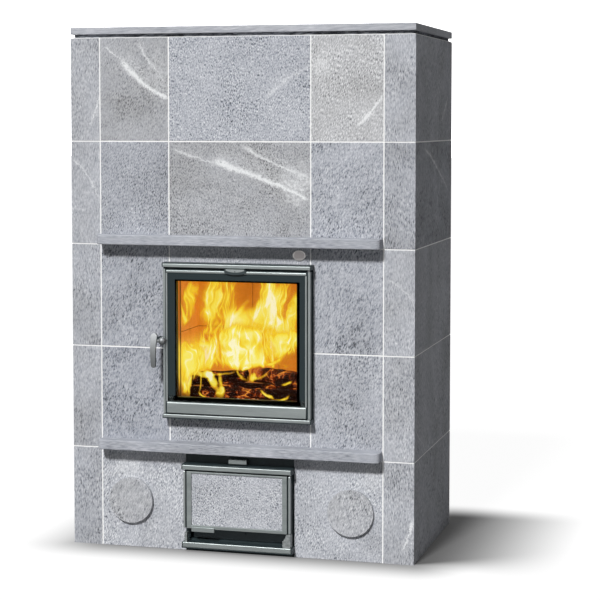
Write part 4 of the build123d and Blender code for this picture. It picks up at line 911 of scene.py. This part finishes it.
def flames(name, depth, seed, blobs, licks, strength, restless=0.5):
    """A sheet of flame. It is dense in soft blobs, given as x, z, wide, high, dense and lean, and
    along licks, given as start, end, bow, width and dense."""
    made, spot = new_material(name)
    x, z = spot.axis(0), spot.axis(2)
    sway = spot.place(moved=(seed, 0, 0), stretched=(1, 1, 1.6)).noise(9, 2, 0.5) - 0.5
    curl = spot.place(moved=(0, seed, 0)).noise(30, 2, 0.5) - 0.5
    drift = x + sway * 0.08 + curl * 0.016
    rise = z + sway * 0.04 + curl * 0.014
    flow = spot.node("ShaderNodeCombineXYZ", {0: drift + sway * 0.07, 1: seed, 2: z})
    streaks = flow.place(stretched=(1, 1, 5)).noise(46, 3, 0.6)
    wisps = flow.place(stretched=(1, 1, 2.4)).noise(15, 3, 0.5)
    hairs = 1 - abs(flow.place(stretched=(1, 1, 6)).noise(52, 1, 0.4) - 0.5) * 16
    ribbons = 1 - abs(flow.place(stretched=(1, 1, 3.5)).noise(22, 1, 0.4) - 0.5) * 18
    furrows = 1 - abs(flow.place(moved=(0, 3, 0), stretched=(1, 1, 3)).noise(19, 2, 0.5) - 0.5) * 12
    mass = 0
    for middle, height, wide, high, dense, lean in blobs:
        across = (drift - middle - (z - height) * lean) / wide
        near = 1 - across.reach((rise - height) / high).ease(0.1, 1.15)
        mass = near * dense + mass
    mass = spot.maths("MINIMUM", mass, 0.78)
    lively = mass.ease(0.02, 0.3)
    density = (streaks - 0.5) * restless + (wisps - 0.5) * (restless * 2.2)
    density = mass + density * (lively * 0.7 + 0.3)
    bright_lines = ribbons.ease(0, 1) * 0.3 + hairs.ease(0, 1) * 0.22
    density = density + lively * bright_lines * (restless + 0.4)
    density = density - furrows.ease(0, 1) * mass * 0.35
    for start, end, bow, width, dense in licks:
        swayed, curled = x + sway * 0.05 + curl * 0.016, z + curl * 0.016
        share, across = follow(swayed, curled, start, end, bow)
        taper = share.ease(-0.1, 0.3) * (1 - share.ease(0.6, 1.1)) * (streaks * 1.1 + 0.25)
        density = density + (1 - (abs(across) / width).ease(0.1, 1.8)) * taper * dense
    rim = 1 - abs(x).ease(flames_wide / 2 - 0.009, flames_wide / 2)
    rim = rim * z.ease(0.476, 0.49) * (1 - z.ease(0.94, 0.965))
    surface(
        spot,
        base_color=(0, 0, 0, 1),
        roughness=1.0,
        specular_ior_level=0.0,
        emission_color=density.ramp(
            (0.10, (0.80, 0.29, 0.012, 1)),
            (0.32, (0.88, 0.46, 0.016, 1)),
            (0.52, (0.92, 0.66, 0.03, 1)),
            (0.74, (0.95, 0.80, 0.10, 1)),
            (0.90, (0.96, 0.88, 0.28, 1)),
            (1.00, (1.0, 0.95, 0.62, 1)),
        ),
        emission_strength=1.0,
        alpha=density.ease(0.05, 0.62) * rim * strength,
    )
    sheet = bmesh.new()
    bmesh.ops.create_grid(sheet, x_segments=36, y_segments=36, size=0.5)
    for vertex in sheet.verts:
        x, z = vertex.co.x, vertex.co.y
        ripple = noise.noise(Vector((x * 5 + seed, z * 3, seed))) * 0.008
        height = flames_foot + (z + 0.5) * (flames_top - flames_foot)
        vertex.co = Vector((x * flames_wide, depth + ripple, height))
    add_piece(name, sheet, made, "stove_body")


flames(
    "back_flames", -0.078, 1.3,
    blobs=(
        (-0.168, 0.79, 0.058, 0.13, 0.68, 0.1),
        (-0.105, 0.80, 0.05, 0.13, 0.42, -0.1),
        (-0.045, 0.745, 0.07, 0.06, 0.45, 0.5),
        (0.02, 0.75, 0.06, 0.08, 0.5, 0.2),
        (0.02, 0.83, 0.05, 0.12, 0.42, -0.15),
        (0.075, 0.80, 0.04, 0.12, 0.4, 0.2),
        (0.125, 0.77, 0.03, 0.09, 0.45, 0.25),
        (-0.11, 0.71, 0.11, 0.06, 0.5, 0.0),
        (0.06, 0.70, 0.1, 0.05, 0.5, 0.0),
        (-0.055, 0.62, 0.16, 0.06, 0.6, 0.0),
    ),
    licks=(
        ((0.012, 0.90), (0.085, 0.70), -0.012, 0.007, 0.45),
        ((0.127, 0.85), (0.100, 0.71), 0.0, 0.010, 0.4),
        ((-0.04, 0.81), (-0.092, 0.73), 0.004, 0.006, 0.3),
        ((-0.135, 0.78), (-0.115, 0.72), 0.002, 0.004, 0.3),
    ),
    strength=0.9,
)
flames(
    "middle_flames", -0.122, 4.1,
    blobs=(
        (-0.13, 0.65, 0.10, 0.085, 0.85, 0.0),
        (-0.05, 0.655, 0.10, 0.08, 0.8, 0.0),
        (0.03, 0.655, 0.10, 0.085, 0.8, 0.0),
        (0.10, 0.67, 0.06, 0.065, 0.55, 0.0),
        (-0.20, 0.60, 0.06, 0.08, 0.7, 0.0),
        (-0.05, 0.595, 0.14, 0.03, 0.5, 0.1),
    ),
    licks=(((-0.01, 0.72), (-0.03, 0.79), 0.004, 0.008, 0.5),),
    strength=0.95,
    restless=0.7,
)
flames(
    "side_flames", -0.172, 9.2,
    blobs=(
        (-0.200, 0.80, 0.03, 0.08, 0.5, 0.25),
        (-0.200, 0.61, 0.05, 0.08, 0.8, 0.0),
        (-0.16, 0.625, 0.08, 0.065, 0.75, 0.2),
        (0.06, 0.66, 0.05, 0.06, 0.3, 0.0),
        (0.12, 0.60, 0.035, 0.02, 0.2, 0.5),
    ),
    licks=(((0.03, 0.60), (0.12, 0.635), -0.012, 0.006, 0.7),),
    strength=0.9,
)
flames(
    "near_flames", -0.262, 2.9,
    blobs=(
        (-0.20, 0.615, 0.06, 0.075, 0.8, 0.0),
        (-0.16, 0.615, 0.05, 0.06, 0.7, 0.2),
        (-0.21, 0.555, 0.03, 0.06, 0.65, 0.0),
        (-0.184, 0.815, 0.034, 0.11, 0.7, 0.33),
    ),
    licks=(((-0.214, 0.55), (-0.200, 0.50), 0.004, 0.006, 0.6),),
    strength=0.9,
)
flames(
    "front_flames", -0.2275, 7.7,
    blobs=(
        (-0.215, 0.59, 0.035, 0.075, 0.8, 0.1),
        (-0.20, 0.53, 0.016, 0.05, 0.6, 0.0),
        (-0.18, 0.59, 0.04, 0.03, 0.45, 0.4),
        (-0.088, 0.508, 0.014, 0.024, 0.5, 0.0),
        (-0.118, 0.56, 0.022, 0.03, 0.55, -0.6),
        (-0.15, 0.572, 0.05, 0.014, 0.5, 0.0),
        (0.018, 0.562, 0.022, 0.022, 0.6, 0.3),
    ),
    licks=(
        ((-0.138, 0.59), (-0.092, 0.488), 0.006, 0.008, 0.6),
        ((-0.088, 0.575), (-0.080, 0.488), -0.003, 0.005, 0.6),
        ((-0.156, 0.57), (-0.160, 0.503), 0.004, 0.003, 0.6),
        ((-0.160, 0.508), (-0.122, 0.492), -0.005, 0.003, 0.7),
        ((0.045, 0.527), (0.100, 0.492), -0.004, 0.0042, 0.8),
        ((0.096, 0.492), (0.150, 0.514), -0.008, 0.0042, 0.8),
        ((0.120, 0.543), (0.164, 0.56), -0.003, 0.004, 0.7),
        ((-0.04, 0.592), (0.004, 0.55), -0.004, 0.0045, 0.6),
        ((0.02, 0.56), (0.08, 0.585), -0.006, 0.005, 0.5),
        ((-0.17, 0.560), (-0.02, 0.585), -0.004, 0.004, 0.4),
    ),
    strength=0.9,
    restless=0.3,
)
